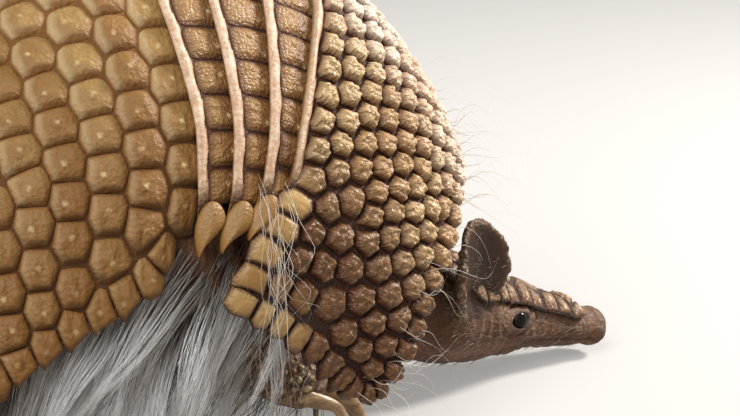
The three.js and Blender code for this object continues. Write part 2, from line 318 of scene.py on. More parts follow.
def horn_scutes(
    name, top, flank, groove, grain_mm, relief, gloss, valley=0.4, dip=0.25, lustre=0.5, deep=0.72, earth=EARTH
):
    """Bony scutes under thin horn: red-brown valleys, pebbled tops, and a pale rim on the rear side of each that is
    painted highlight. The colour goes from top to flank down the sides and darkens at the hem, as painted light and
    shade. valley is how far up a scute the groove's colour reaches, dip how strong it is between the pebbles, and
    deep how dark the painted shade at the hem is."""
    f = Finish(name)
    rise, ochre, cord, dim, tone = (f.value(key) for key in ("rise", "ochre", "cord", "dim", "tone"))
    back, low, knob, spot = (f.value(key) for key in ("back", "low", "knob", "spot"))
    broad, patch, fleck = f.noise(0.03, 2.0), f.noise(0.25, 4.0), f.noise(1.1, 4.0, 0.65)
    grain, fine = f.pebbled(grain_mm), f.pebbled(grain_mm * 0.52)
    # hollow is the groove's colour, darkened towards the hem as painted shade
    hollow = f.mix(dim, groove, scaled(groove, 0.3))
    plain, scute = (1 - ochre * 0.85) * (1 - cord * 0.7), 1 - cord
    yellow = f.mix(f.ramp(patch * 0.5 + tone * 0.5, 0.3, 0.7), shade(0.57, 0.42, 0.18), shade(0.43, 0.29, 0.11))
    side = f.mix(f.ramp(patch * 0.6 + tone * 0.4, 0.35, 0.65), flank, scaled(flank, 0.72, 0.6, 0.45))
    # a pale rim on the rear side of each scute: painted highlight
    rim = f.ramp(back + 0.5 * patch, 0.5, 1.15) * f.ramp(rise, 0.05, 0.2) * (1 - f.ramp(rise, 0.28, 0.62)) * scute
    lip = f.mix(f.ramp(patch * 0.4 + fleck * 0.6, 0.4, 0.6), shade(0.86, 0.75, 0.64), shade(0.74, 0.59, 0.46))
    colour = f.layered(
        f.mix(f.ramp(broad * 0.45 + patch * 0.3 + tone * 0.25, 0.36, 0.64), top, scaled(top, *earth)),
        (f.ramp(fleck, 0.45, 0.75) * 0.35, scaled(top, 1.38, 1.42, 1.5)),
        (ochre * (0.8 + 0.2 * patch), yellow),
        ((1 - grain) * plain * dip, groove),
        # down the sides the colour turns to the flank's and then dark at the hem, as the painted shade grows
        (f.ramp(dim, 0.0, 0.45) * 0.8, side),
        (f.ramp(dim, 0.4, 1.0) * deep, f.mix(0.68, scaled(flank, 0.5, 0.38, 0.25), groove)),
        ((1 - f.ramp(knob, 0.1, 0.75)) * plain * dip, hollow),
        # each scute darker along its lower edge: painted shadow
        (f.ramp(low, 0.35, 1.0) * (1 - f.ramp(rise, 0.25, 0.6)) * scute * 0.7, hollow),
        ((1 - f.ramp(rise, 0.0, valley)) * scute * 0.66, groove),
        ((1 - f.ramp(rise, 0.0, 0.02 + 0.16 * valley)) * scute * 0.92, hollow),
        (rim * (1 - 0.6 * dim) * 0.62, shade(0.78, 0.69, 0.53)),
        # a pale spot on each tubercle is painted highlight, with random pale flecks
        (f.ramp(spot + 0.7 * fleck, 0.75, 1.35) * (1 - ochre) * 0.6, shade(0.87, 0.77, 0.57)),
        (cord, lip),
    )
    rough = gloss + 0.2 * fleck + 0.1 * cord + 0.12 * ochre + 0.3 * (1 - f.ramp(rise, 0.0, 0.25)) * scute
    bump = f.bump(grain * plain + 0.45 * fine * plain + 0.15 * fleck + 0.9 * cord * fleck, relief, 0.95)
    return f.done(Base_Color=colour, Roughness=rough.clipped(), Normal=bump, Specular_IOR_Level=lustre)


pelvic_horn = horn_scutes(
    "pelvic_horn", shade(0.635, 0.505, 0.32), shade(0.595, 0.465, 0.265), shade(0.5, 0.33, 0.165), 1.2, 0.11, 0.46,
    valley=0.22, lustre=0.3, deep=0.65,
)
# the front shield's pale pinkish top colour is painted highlight; its golden flanks and dark hem come with its painted
# shade
scapular_horn = horn_scutes(
    "scapular_horn", shade(1.0, 0.91, 0.81), shade(0.76, 0.62, 0.38), shade(0.29, 0.13, 0.06), 0.95, 0.2, 0.28,
    dip=0.3, lustre=0.36, deep=0.97, earth=(0.9, 0.78, 0.64),
)
band_horn = horn_scutes(
    "band_horn", shade(0.66, 0.515, 0.32), shade(0.6, 0.44, 0.24), shade(0.3, 0.15, 0.06), 0.85, 0.16, 0.3,
    dip=0.3, lustre=0.42, deep=0.6,
)


# ---- meshes ----
def read(rows, key, width=1, kind=np.float32):
    """One property of all of a mesh's vertices, loops or faces."""
    held = np.zeros(len(rows) * width, kind)
    rows.foreach_get(key, held)
    return held.astype(float).reshape(-1, 3) if width == 3 else held


def write(mesh, points, marks):
    """Gives a mesh its vertices' places in mm and their marks for the material, and smooth faces."""
    mesh.vertices.foreach_set("co", (points * MM).astype(np.float32).ravel())
    for key, data in marks.items():
        layer = mesh.attributes.get(key) or mesh.attributes.new(key, "FLOAT", "POINT")
        layer.data.foreach_set("value", np.broadcast_to(data, len(points)).astype(np.float32))
    mesh.polygons.foreach_set("use_smooth", [True] * len(mesh.polygons))
    mesh.update()


def dressed(piece, material):
    """Gives a piece its material and its place in the frame."""
    piece.data.materials.clear()
    piece.data.materials.append(material)
    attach(piece, "root")
    return piece


def finished(name, bm, place, material):
    """Puts a bmesh down as an object. place moves all its vertices at once, from their flat coordinates to mm,
    and gives their marks. It also gets the bmesh's own values by name."""
    mesh = bpy.data.meshes.new(name)
    bm.to_mesh(mesh)
    bm.free()
    layers = [a for a in mesh.attributes if a.domain == "POINT" and a.data_type == "FLOAT"]
    values = {a.name: read(a.data, "value").astype(float) for a in layers}
    points, marks = place(read(mesh.vertices, "co", 3), values)
    for key in values.keys() - marks.keys():
        mesh.attributes.remove(mesh.attributes[key])
    write(mesh, points, marks)
    return dressed(placed(name, mesh), material)


def slab(columns, rows):
    """A closed flat slab, x and y from 0 to 1 and z 0 or 1, for a curved plate."""
    bm = bmesh.new()
    bmesh.ops.create_grid(bm, x_segments=columns, y_segments=rows, size=0.5)
    bmesh.ops.translate(bm, verts=bm.verts, vec=(0.5, 0.5, 0))
    raised = bmesh.ops.extrude_face_region(bm, geom=bm.faces[:], use_keep_orig=True)["geom"]
    bmesh.ops.translate(bm, verts=[v for v in raised if isinstance(v, bmesh.types.BMVert)], vec=(0, 0, 1))
    bmesh.ops.recalc_face_normals(bm, faces=bm.faces[:])
    return bm


def cell(others, reach):
    """The polygon of points nearer to the origin than to the others, cut from a square."""
    bm = bmesh.new()
    bmesh.ops.create_grid(bm, x_segments=1, y_segments=1, size=reach)
    for x, y in others:
        whole = bm.verts[:] + bm.edges[:] + bm.faces[:]
        bmesh.ops.bisect_plane(bm, geom=whole, plane_co=(x / 2, y / 2, 0), plane_no=(x, y, 0), clear_outer=True)
    corners = [(v.co.x, v.co.y) for face in bm.faces for v in face.verts] if len(bm.faces) == 1 else []
    bm.free()
    return corners


class Cover:
    """A curved surface that scutes lie on. spot(x, y, lift) gives places in mm from flat coordinates."""

    def __init__(self, spot):
        self.spot = spot

    def on(self, flat):
        return self.spot(flat[:, 0], flat[:, 1], 0 * flat[:, 0])

    def grain(self, flat):
        """At flat spots: the places, the ways across and along the rows, and the turn from true mm to flat ones."""
        x, y, e, level = flat[:, 0], flat[:, 1], 0.4, 0 * flat[:, 0]
        dx = (self.spot(x + e, y, level) - self.spot(x - e, y, level)) / (2 * e)
        dy = (self.spot(x, y + e, level) - self.spot(x, y - e, level)) / (2 * e)
        along = unit(dy)
        across = unit(dx - (dx * along).sum(-1, keepdims=True) * along)
        to_local = np.stack([np.stack([(dx * w).sum(-1), (dy * w).sum(-1)], -1) for w in (across, along)], 1)
        to_local += np.eye(2) * 1e-4
        return self.on(flat), across, along, np.linalg.inv(to_local)

    def eased(self, seeds, fixed, space):
        """Seeds nudged apart until they are about space mm from each other and from the fixed ones."""
        seeds = seeds.copy()
        for _ in range(6):
            at, across, along, to_flat = self.grain(np.concatenate([seeds, fixed]))
            n = len(seeds)
            gap = at[:n, None] - at[None]
            size = np.linalg.norm(gap, axis=-1) + 1e-9
            push = np.clip(space - size, 0, None) * (size > 1e-6)
            move = 0.35 * (gap / size[..., None] * push[..., None]).sum(1)
            local = np.stack([(move * across[:n]).sum(-1), (move * along[:n]).sum(-1)], -1)
            seeds += np.clip(np.einsum("nij,nj->ni", to_flat[:n], local), -2, 2)
        return seeds

    def cells(self, seeds, ghosts, reach, squash=1.0):
        """Each seed's polygon, in true mm about it. squash under 1 makes neighbours in a row meet more squarely."""
        at, across, along, to_flat = self.grain(np.concatenate([seeds, ghosts]))
        tree = KDTree(len(at))
        for i, p in enumerate(at):
            tree.insert(p, i)
        tree.balance()
        outlines = []
        for i in range(len(seeds)):
            near = [j for _, j, _ in tree.find_range(at[i], reach * 2) if j != i]
            gap = at[near] - at[i]
            corners = cell(np.stack([gap @ across[i], gap @ along[i] * squash], -1), reach)
            outlines.append([(x, y / squash) for x, y in corners])
        return outlines, to_flat[: len(seeds)]


HALF_SCUTE = 3.6  # mm


def scatter(x):
    """A fixed random share for each number."""
    x = np.sin(x) * 43758.5453
    return x - np.floor(x)


def tubercle_at(number):
    """Where the small tubercle stands on each scute, in mm from its middle."""
    return np.stack([0.3 + 0.6 * np.sin(number * 1.7), 0.7 * np.sin(number * 2.3 + 1)], -1)


def scutes(name, cover, seeds, outlines, to_flat, surface, material, groove, rounding, cuts, segments=2, depth=0.7):
    """Closed scutes on a cover. surface(local, rise, number, flat) gives their height in mm, ochre, painted shade
    and, for pebbled ones, knobs. rise is 0 at the rim and 1 in the middle."""
    bm = bmesh.new()
    for key in ("number", "rise"):
        bm.verts.layers.float.new(key)
    number, rise = (bm.verts.layers.float[k] for k in ("number", "rise"))
    grooves = np.broadcast_to(groove, len(seeds))
    for i, corners in enumerate(outlines):
        if len(corners) > 2:
            made = [bm.verts.new((x, y, 0)) for x, y in corners]
            for v in made:
                v[number] = i
            bm.faces.new(made)
    roundings = np.broadcast_to(rounding, len(seeds))
    for much in np.unique(roundings):
        corners = [v for v in bm.verts if roundings[round(v[number])] == much]
        shape = {"segments": segments, "profile": 0.5, "material": -1, "clamp_overlap": True}
        bmesh.ops.bevel(bm, geom=corners, affect="VERTICES", offset=float(much), **shape)
    for face in bm.faces:
        middle = face.calc_center_median()
        which = round(face.verts[0][number])
        inner = math.sqrt(face.calc_area() / math.pi)
        for v in face.verts:
            v[number] = which
            v.co = middle + (v.co - middle) * max(0.5, 1 - float(grooves[which]) / 2 / inner)
    made = bmesh.ops.extrude_face_region(bm, geom=bm.faces[:], use_keep_orig=True)["geom"]
    bmesh.ops.translate(bm, verts=[v for v in made if isinstance(v, bmesh.types.BMVert)], vec=(0, 0, 1))
    tops = bmesh.ops.poke(bm, faces=[f for f in made if isinstance(f, bmesh.types.BMFace)])
    for v in tops["verts"]:
        v[rise] = 1.0
        v.co.z = 1.0
        v[number] = next(w[number] for e in v.link_edges for w in e.verts if w is not v)
    edges = list({edge for f in tops["faces"] for edge in f.edges})
    bmesh.ops.subdivide_edges(bm, edges=edges, cuts=cuts, use_grid_fill=True)
    bmesh.ops.recalc_face_normals(bm, faces=bm.faces[:])

    def place(p, values):
        n = np.rint(values["number"]).astype(int)
        flat = seeds[n] + np.einsum("nij,nj->ni", to_flat[n], p[:, :2])
        top = p[:, 2] > 0.5
        up, ochre, dim, *knob = surface(p[:, :2], values["rise"], n, flat)
        marks = {"rise": np.where(top, values["rise"], 0), "ochre": ochre, "dim": dim, "knob": knob[0] if knob else 1.0}
        marks |= {"flat_x": p[:, 0] + n * 7.3 % 61, "flat_y": p[:, 1] + n * 5.1 % 53}
        # back and low mark each scute's rear and lower sides, for the painted highlight on its rear rim and the painted
        # shadow under its lower edge
        marks |= {"back": p[:, 0] / HALF_SCUTE, "low": p[:, 1] * np.sign(flat[:, 1]) / HALF_SCUTE}
        marks["tone"] = np.sin(n * 12.9 + 3) * 0.5 + 0.5
        # spot places a painted highlight on each scute's tubercle
        marks["spot"] = np.exp(-(((p[:, :2] - tubercle_at(n)) ** 2).sum(-1) / 0.75)) * (not knob)
        return cover.spot(flat[:, 0], flat[:, 1], np.where(top, up, -depth)), marks

    finished(name, bm, place, material)


def pebbles(local, number, pitch, seed=0):
    """Distance to the nearest of scattered grains, in pitches. Every scute has its own scatter."""
    x, y = (local / pitch + np.stack([number * 3.7 % 29, number * 5.3 % 31], -1)).T
    best = np.full(len(x), 9.0)
    for i in (-1, 0, 1):
        for j in (-1, 0, 1):
            cx, cy = np.floor(x) + i, np.floor(y) + j
            dx = cx + 0.5 + 0.36 * (2 * scatter(cx * 127.1 + cy * 311.7 + seed) - 1) - x
            dy = cy + 0.5 + 0.36 * (2 * scatter(cx * 269.5 + cy * 183.3 + seed) - 1) - y
            best = np.minimum(best, np.hypot(dx, dy))
    return best

# ---- the shell: curved plates, and scutes laid out flat on them, in mm from a lip and from the midline ----
MEASURED_RIB = -10.0
arc_turn = np.linspace(0, 90, 361)
arc_mm = run_along(dome_point(np.full(361, MEASURED_RIB), arc_turn))


def girth(rib):
    """How much wider round the dome is at a rib than at the one measured."""
    return (fan_reach(rib) + half_width(rib)) / (fan_reach(MEASURED_RIB) + half_width(MEASURED_RIB))


def spoke(rib, around):
    """Distance from the fan's axis, kept off nought so that rows don't bunch up at the hem."""
    least = 26.0
    return np.maximum(fan_reach(rib) * np.abs(np.cos(np.radians(around))) ** (2 / DOME_POWER), least)


class Lay:
    """A flat layout of rows beside a line across the shell: x mm from the line, y mm from the midline."""

    def __init__(self, line, way):
        self.line, self.way = line, way

    def flat(self, rib, around):
        """Flat coordinates from degrees on the dome."""
        x = self.way * np.radians(rib - self.line(np.abs(around))) * spoke(rib, around)
        y = np.sign(around) * np.interp(np.abs(around), arc_turn, arc_mm) * girth(rib)
        return np.stack([x, y], -1)

    def shell(self, x, y):
        """Degrees on the dome from flat coordinates, found by closing in on them."""
        usual = 90
        rib = self.line(np.zeros_like(x)) + self.way * np.degrees(x / usual)
        for _ in range(12):
            around = np.sign(y) * np.interp(np.abs(y) / girth(rib), arc_mm, arc_turn)
            rib = 0.4 * rib + 0.6 * (self.line(np.abs(around)) + self.way * np.degrees(x / spoke(rib, around)))
        return rib, around


# each lip's rib, from the midline to the hem: the front shield's rear edge, then the three bands' rear edges
LIPS = [
    flowing((0, 17.5), (0.34, 17.2), (0.5, 16), (0.78, 14), (0.86, 10.5), (0.93, 6), (1, -2.5)),
    flowing((0, 9.5), (0.8, 9.8), (0.93, 8.8), (1, 5.5)),
    flowing((0, 1.6), (0.5, 2.2), (0.78, 3.4), (0.94, 2.2), (1, -1.6)),
    flowing((0, -5), (0.5, -4.2), (0.78, -3.1), (0.95, -5.2), (1, -7.6)),
]
TIP = [65.5, 67.0, 67.0]  # degrees round, where each band ends
LIP_MM, LIP_RISE = 2.3, 0.95  # the cord along a lip: its width and height


def sink(past):
    """How far a plate dips under the one before it, this many degrees past its lip."""
    return -STEP_DOWN * past / PITCH


def bead(mm):
    """The smooth round cord along a plate's rear edge."""
    x = np.clip(mm / LIP_MM, 0, 1)
    return LIP_RISE * np.sqrt(np.clip(1 - (2 * x - 1) ** 2, 0, 1)) * (x < 1)


class Shell:
    """One plate. u runs from its rear edge to its front, v from the right hem to the left."""

    def __init__(self, rear, front, hem, height, thick, lip=(2.0, 2.1)):
        self.rear, self.front, self.hem, self.height, self.thick, self.lip = rear, front, hem, height, thick, lip

    def spot(self, u, v):
        return lerp(self.rear(np.abs(v)), self.front(np.abs(v)), u), v * self.hem(u)

    def slab(self, name, columns, rows, material, spacing=1.0, tuck=0.0, dim=lambda u, v: 0.4 + 0 * v):
        """The plate under its scutes, darkened by painted shade by u and v. tuck draws its edges in, so that the
        scutes' own rims show.
        """

        def place(p, _):
            u = tuck * 0.03 + (1 - tuck * 0.06) * p[:, 0] ** spacing
            v = (2 * p[:, 1] - 1) * (1 - tuck * 0.02)
            rib, around = self.spot(u, v)
            past = np.radians(rib - self.rear(np.abs(v))) * spoke(rib, around)
            top = p[:, 2] > 0.5
            fade = 1 - smooth(np.abs(v), *self.lip) if self.lip else 0 * past
            swell = np.cos(2 * math.pi * p[:, 1] * rows / 9) + 0.6 * np.sin(37 * p[:, 1] + 2)
            cord = bead(past / (1 + 0.09 * swell)) * fade
            notch = 1 - 0.16 * smooth(np.abs(np.mod(p[:, 1] * rows / 9, 1) - 0.5), 0.36, 0.5)
            lift = self.height(rib, around, u, v) + np.where(top, cord * notch, -self.thick(u))
            inset = 0.25 * (1 - top) * (past < 0.3)
            marks = {"rise": np.where(top, 0.0, 0.5), "cord": top * (past < LIP_MM * (0.97 + 0.09 * swell)) * fade}
            marks |= {"flat_x": past, "flat_y": 1.2 * around, "dim": dim(u, np.abs(v)), "knob": 1.0}
            return dome(rib + inset, around, lift), marks

        return finished(name, slab(columns, rows), place, material)

    def outline(self, lay):
        """Its edge in a flat layout: rear, left hem, front and right hem, each as points."""
        return [lay.flat(*self.spot(u, v)) for u, v in way_round(48)]


def way_round(count):
    """Shares (u, v) along a plate's rear edge, left hem, front and right hem, count of each."""
    t, one = np.linspace(0, 1, count, endpoint=False), np.ones(count)
    return (0 * t, 2 * t - 1), (t, one), (one, 1 - 2 * t), (1 - t, -one)


def inside(points, ring):
    """Which flat points are inside a closed ring."""
    a, b = ring, np.roll(ring, -1, 0)
    x, y = points[:, None, 0], points[:, None, 1]
    crosses = (a[:, 1] > y) != (b[:, 1] > y)
    at = a[:, 0] + (y - a[:, 1]) * (b[:, 0] - a[:, 0]) / np.where(b[:, 1] == a[:, 1], 1e-9, b[:, 1] - a[:, 1])
    return (crosses & (x < at)).sum(1) % 2 == 1


def along_line(cover, line, spacing):
    """Flat spots along a flat polyline, a true spacing apart on the cover."""
    fine = np.concatenate([np.linspace(a, b, 8, endpoint=False) for a, b in zip(line[:-1], line[1:])] + [line[-1:]])
    run = run_along(cover.on(fine))
    count = max(2, round(run[-1] / spacing))
    at = (np.arange(count) + 0.5) * run[-1] / count
    return np.stack([np.interp(at, run, fine[:, i]) for i in (0, 1)], -1), fine


def row_at(x, y):
    return np.stack([0 * y + x, y], -1)


def rows_of(cover, rows, spacing, widest):
    """Seeds row by row from the lip. Each row's seeds lie between those of the row before."""
    y = np.linspace(0, widest, 240)
    run = run_along(cover.on(row_at(rows[0], y)))
    side = np.interp((np.arange(int(run[-1] / spacing)) + 0.5) * spacing, run, y)
    row = np.concatenate([-side[::-1], side])
    made = [row_at(rows[0], row)]
    for x, following in zip(rows[:-1], rows[1:]):
        row = np.concatenate([[row[0] - spacing], row, [row[-1] + spacing]])
        row = (row[1:] + row[:-1]) / 2
        step = cover.grain(row_at(x, row))[3][:, :, 0]
        row = np.sort(row + (following - x) * step[:, 1] / np.maximum(step[:, 0], 0.2))
        row = row[np.abs(row) < widest]
        gaps = np.linalg.norm(np.diff(cover.on(row_at(following, row)), axis=0), axis=1) / spacing
        steps, odd = np.ones(len(gaps)), np.flatnonzero((gaps < 0.76) | (gaps > 1.3))
        for run in np.split(odd, np.flatnonzero(np.diff(odd) > 1) + 1):  # crowded or sparse runs are spaced afresh
            if len(run):
                steps[run] = gaps[run] * round(gaps[run].sum()) / max(gaps[run].sum(), 1e-6)
        count = np.concatenate([[0], np.cumsum(steps)])
        row = np.interp(np.arange(round(count[-1]) + 1), count, row)
        made.append(row_at(following, row))
    return made


def mosaic(cover, ring, hem, rows, spacing, jitter, seed, edge, squash, mirror=None, lobe=1.1):
    """Scutes in rows along the lip, with one row that follows the hem: seeds, polygons, turns, and which are on
    the rim. edge is that row's spacing and its distance from the hem. mirror gives the lip's own line, so that
    the first row meets it squarely, and lobe is how far the rim's scutes bulge outwards."""
    draw = np.random.default_rng(seed)
    spots, fine = along_line(cover, hem, edge[0])
    nearest = np.linalg.norm(spots[:, None] - fine[None], axis=-1).argmin(1)
    ahead = fine[np.clip(nearest + 6, 0, len(fine) - 1)] - fine[np.clip(nearest - 6, 0, len(fine) - 1)]
    to_flat = cover.grain(spots)[3]
    local = np.einsum("nij,nj->ni", np.linalg.inv(to_flat), ahead)
    outward = unit(np.stack([local[:, 1], -local[:, 0]], -1))
    flat_out = np.einsum("nij,nj->ni", to_flat, outward)
    flip = np.where(inside(spots + flat_out * 0.4, ring), -1.0, 1.0)[:, None]
    rim, ghosts = spots - flat_out * flip * edge[1], [spots + flat_out * flip * edge[1]]
    points = np.concatenate(rows_of(cover, rows, spacing, np.abs(ring[:, 1]).max() + 6))
    points += draw.normal(0, jitter, points.shape)
    off = np.linalg.norm(cover.on(points)[:, None] - cover.on(fine)[None, ::3], axis=-1).min(1)
    inner = points[inside(points, ring) & (off > edge[1] + 0.5 * spacing)]
    inner = cover.eased(inner, rim, 0.9 * spacing)
    if mirror is not None:
        by_lip = inner[inner[:, 0] < rows[0] + 0.5 * spacing]
        ghosts.append(np.stack([2 * mirror(by_lip[:, 1]) - by_lip[:, 0], by_lip[:, 1]], -1))
    seeds = np.concatenate([inner, rim])
    outlines, to_flat = cover.cells(seeds, np.concatenate(ghosts), spacing * 1.05, squash)
    for i, out in zip(range(len(inner), len(seeds)), outward * flip):
        corners = np.array(outlines[i])
        if len(corners) > 2:
            middles = (corners + np.roll(corners, -1, 0)) / 2
            outer = int((middles @ out).argmax())
            outlines[i].insert(outer + 1, tuple(middles[outer] + lobe * out))
    return seeds, outlines, to_flat, np.arange(len(seeds)) >= len(inner)


scapular = Shell(
    LIPS[0],
    stops((0, 50), (0.43, 53), (0.63, 57.5), (0.76, 61), (0.84, 67.5), (0.92, 74), (1, 79)),
    stops((0, 72.8), (0.05, 74.8), (0.18, 76.2), (0.42, 76.2), (0.67, 74.2), (0.87, 71.5), (1, 66.2)),
    lambda rib, around, u, v: 1.5 * smooth(np.abs(v), 0.7, 0.88) * (1 - smooth(u, 0, 0.35)),
    lambda u: lerp(BAND_THICK, SHIELD_THICK, smooth(u, 0.1, 0.3)),
    (0.74, 0.8),
)


def band(i):
    """The plate of one movable band, which runs a little way under the plate before it."""
    rear = LIPS[i + 1]
    return Shell(
        rear,
        lambda v: lerp(LIPS[i](v * (1 if i else 0.9)) + OVERLAP, rear(v) + 1.2, smooth(v, 0.85, 1) ** 1.2),
        lambda u: TIP[i] + 0 * u,
        lambda rib, around, u, v: sink(rib - rear(np.abs(v))),
        lambda u: BAND_THICK,
        (0.88, 0.93),
    )


bands = [band(i) for i in range(3)]


def pelvic_front(v):
    return lerp(LIPS[3](v) + OVERLAP, LIPS[3](1) - 2, smooth(v, 0.86, 1))


pelvic = Shell(
    stops((0, -67), (0.15, -68.5), (0.5, -76), (0.8, -80), (1, -80)),
    pelvic_front,
    stops((0, 57), (0.2, 65), (0.35, 67.8), (0.47, 69.2), (0.68, 70.8), (0.87, 70.2), (0.935, 68), (1, 67)),
    lambda rib, around, u, v: sink(np.maximum(0, PITCH + OVERLAP - pelvic_front(np.abs(v)) + rib)),
    lambda u: lerp(SHIELD_THICK, BAND_THICK, smooth(u, 0.75, 0.9)),
    lip=None,
)


def shell_share(shell, rib, around):
    """Where a spot is on its plate: u from rear to front, v from the midline to the hem."""
    v = np.abs(around) / shell.hem(0.5)
    for _ in range(3):
        low, high = shell.rear(v), shell.front(v)
        u = np.clip((rib - low) / (high - low), 0, 1)
        v = np.clip(np.abs(around) / shell.hem(u), 0, 1.05)
    return u, v


def shell_cover(shell, lay):
    """The cover that a plate's scutes lie on."""

    def spot(x, y, lift):
        rib, around = lay.shell(x, y)
        return dome(rib, around, shell.height(rib, around, *shell_share(shell, rib, around)) + lift)

    return Cover(spot)


def shares(shell, lay, flat):
    """The same for spots of a flat layout."""
    return shell_share(shell, *lay.shell(flat[:, 0], flat[:, 1]))


rows_back = Lay(lambda around: LIPS[3](around / TIP[2]), -1)
rows_fore = Lay(lambda around: LIPS[0](around / 72.8), 1)


# painted shade: darker towards the pelvic shield's hem
def pelvic_painted_shade(u, v):
    return 0.1 + 0.9 * smooth(v, 0.25, 0.95)


# painted light and shade on the front shield: none on its pale top, more down its sides, most at its hem
def scapular_painted_shade(u, v):
    return 0.45 * smooth(v - 0.16 * u, 0.14, 0.5) + 0.55 * smooth(v, 0.54, 0.9)


def pelvic_surface(local, rise, n, flat):
    u, v = shares(pelvic, rows_back, flat)
    low = smooth(v, 0.6, 0.92)
    crown = 0.05 + lerp(0.42, 0.75, low) * smooth(rise, 0, 0.3) ** 0.8 + 0.6 * (1 - ((local**2).sum(-1) / 17) ** 1.25)
    ridges = 0.2 * low * np.sin(local[:, 0] * 2.5 + n) * smooth(rise, 0.15, 0.5)
    grains = (0.08 + 0.16 * low) * (1 - smooth(pebbles(local, n, 1.6), 0.08, 0.6)) * smooth(rise, 0.15, 0.5)
    tubercle = 0.3 * np.exp(-(((local - tubercle_at(n)) ** 2).sum(-1) / 0.9)) * (1 - 0.7 * low)
    tilt = 0.12 * local[:, 1] * np.sign(flat[:, 1]) * smooth(rise, 0, 0.4)
    dents = 0.2 * np.sin(local[:, 0] * 1.3 + 1.7 * n) * np.sin(local[:, 1] * 1.1 + 2.9 * n) * smooth(rise, 0.1, 0.5)
    ochre = 0.5 * smooth(v, 0.9, 1.0) * smooth(rise, 0.1, 0.5)
    return crown + ridges + grains + tubercle + tilt + dents, ochre, pelvic_painted_shade(u, v)


def scapular_surface(local, rise, n, flat):
    u, v = shares(scapular, rows_fore, flat)
    corner = smooth(v, 0.88, 0.97) * (1 - smooth(u, 0.3, 0.55))
    by_lip = (1 - smooth(flat[:, 0], 5, 8)) * smooth(v, 0.74, 0.8)
    plain = np.clip(corner + by_lip, 0, 1)
    crown = 0.15 + 0.7 * smooth(rise, 0, 0.3) ** 0.7 + 0.85 * (1 - (local**2).sum(-1) / 11) * (1 - 0.3 * plain)
    lobes = np.sqrt(np.abs(np.cos((3 + n % 2) * np.arctan2(local[:, 1], local[:, 0]) + 2.4 * n)))
    knobs = 1 - smooth(pebbles(local, n, 1.75, 4), 0.12, 0.66)
    lumps = (0.3 * lobes * (1 - smooth(rise, 0.5, 0.7)) + 0.55 * knobs) * smooth(rise, 0.1, 0.3)
    lumps += 0.2 * smooth(rise, 0.54, 0.7)
    ochre = np.clip(0.35 * smooth(v, 0.5, 0.85) + plain, 0, 1) * smooth(rise, 0.05, 0.4)
    dim = scapular_painted_shade(u, v) * (1 - 0.4 * plain)
    return crown + lumps * (1 - 0.8 * plain), ochre, dim, np.maximum(knobs * lobes**0.5, plain)


SHIELD_ROWS = np.arange(18)


def shield(shell, lay, name, cuts, hem, rows, laid, surface, material, finish):
    """A shield's mosaic, with the scutes of the left and of the right as two pieces. hem says which of its edges
    have a row of their own, laid how the mosaic is laid out, and finish gives each scute its groove and rounding
    from its share of the way to the hem and from whether it is on the rim."""
    edges = shell.outline(lay)
    ring, hem = np.concatenate(edges), np.concatenate([edges[hem[0]][1:], edges[hem[1]], edges[hem[2]]])
    cover = shell_cover(shell, lay)
    seeds, outlines, to_flat, rim = mosaic(cover, ring, hem, rows, **laid)
    groove, rounding = finish(shares(shell, lay, seeds)[1], rim)
    for side, half in (("left", seeds[:, 1] >= 0), ("right", seeds[:, 1] < 0)):
        some = np.flatnonzero(half)
        shapes = [outlines[i] for i in some]
        look = {"groove": groove[some], "rounding": rounding[some], "cuts": cuts}
        scutes(f"{name}_scutes_{side}", cover, seeds[some], shapes, to_flat[some], surface, material, **look)


pelvic.slab("pelvic_shell", 60, 90, pelvic_horn, tuck=1.0, dim=pelvic_painted_shade)
shield(
    pelvic, rows_back, "pelvic", 5, (3, 0, 1), 2.4 + 8.2 * SHIELD_ROWS,
    {"spacing": 8.2, "jitter": 0.18, "seed": 3, "edge": (5.9, 2.7), "squash": 0.76, "mirror": lambda y: -1.2 + 0 * y},
    pelvic_surface, pelvic_horn, lambda v, rim: (lerp(-0.3, 0.3, smooth(v, 0.6, 0.95)), 2.4 + 0 * v),
)


def scapular_lip(y):
    return lerp(LIP_MM + 0.2, -0.4, smooth(np.abs(y), 66, 74))


scapular.slab("scapular_shell", 50, 90, scapular_horn, spacing=1.5, tuck=0.6, dim=scapular_painted_shade)
shield(
    scapular, rows_fore, "scapular", 6, (1, 2, 3), LIP_MM + 2.9 + 5.3 * SHIELD_ROWS,
    {"spacing": 5.9, "jitter": 0.35, "seed": 11, "edge": (5.2, 2.5), "squash": 0.95, "mirror": scapular_lip},
    scapular_surface, scapular_horn, lambda v, rim: (0.7 + 0 * v, np.where(rim, 2.2, np.where(v > 0.8, 1.6, 2.4))),
)

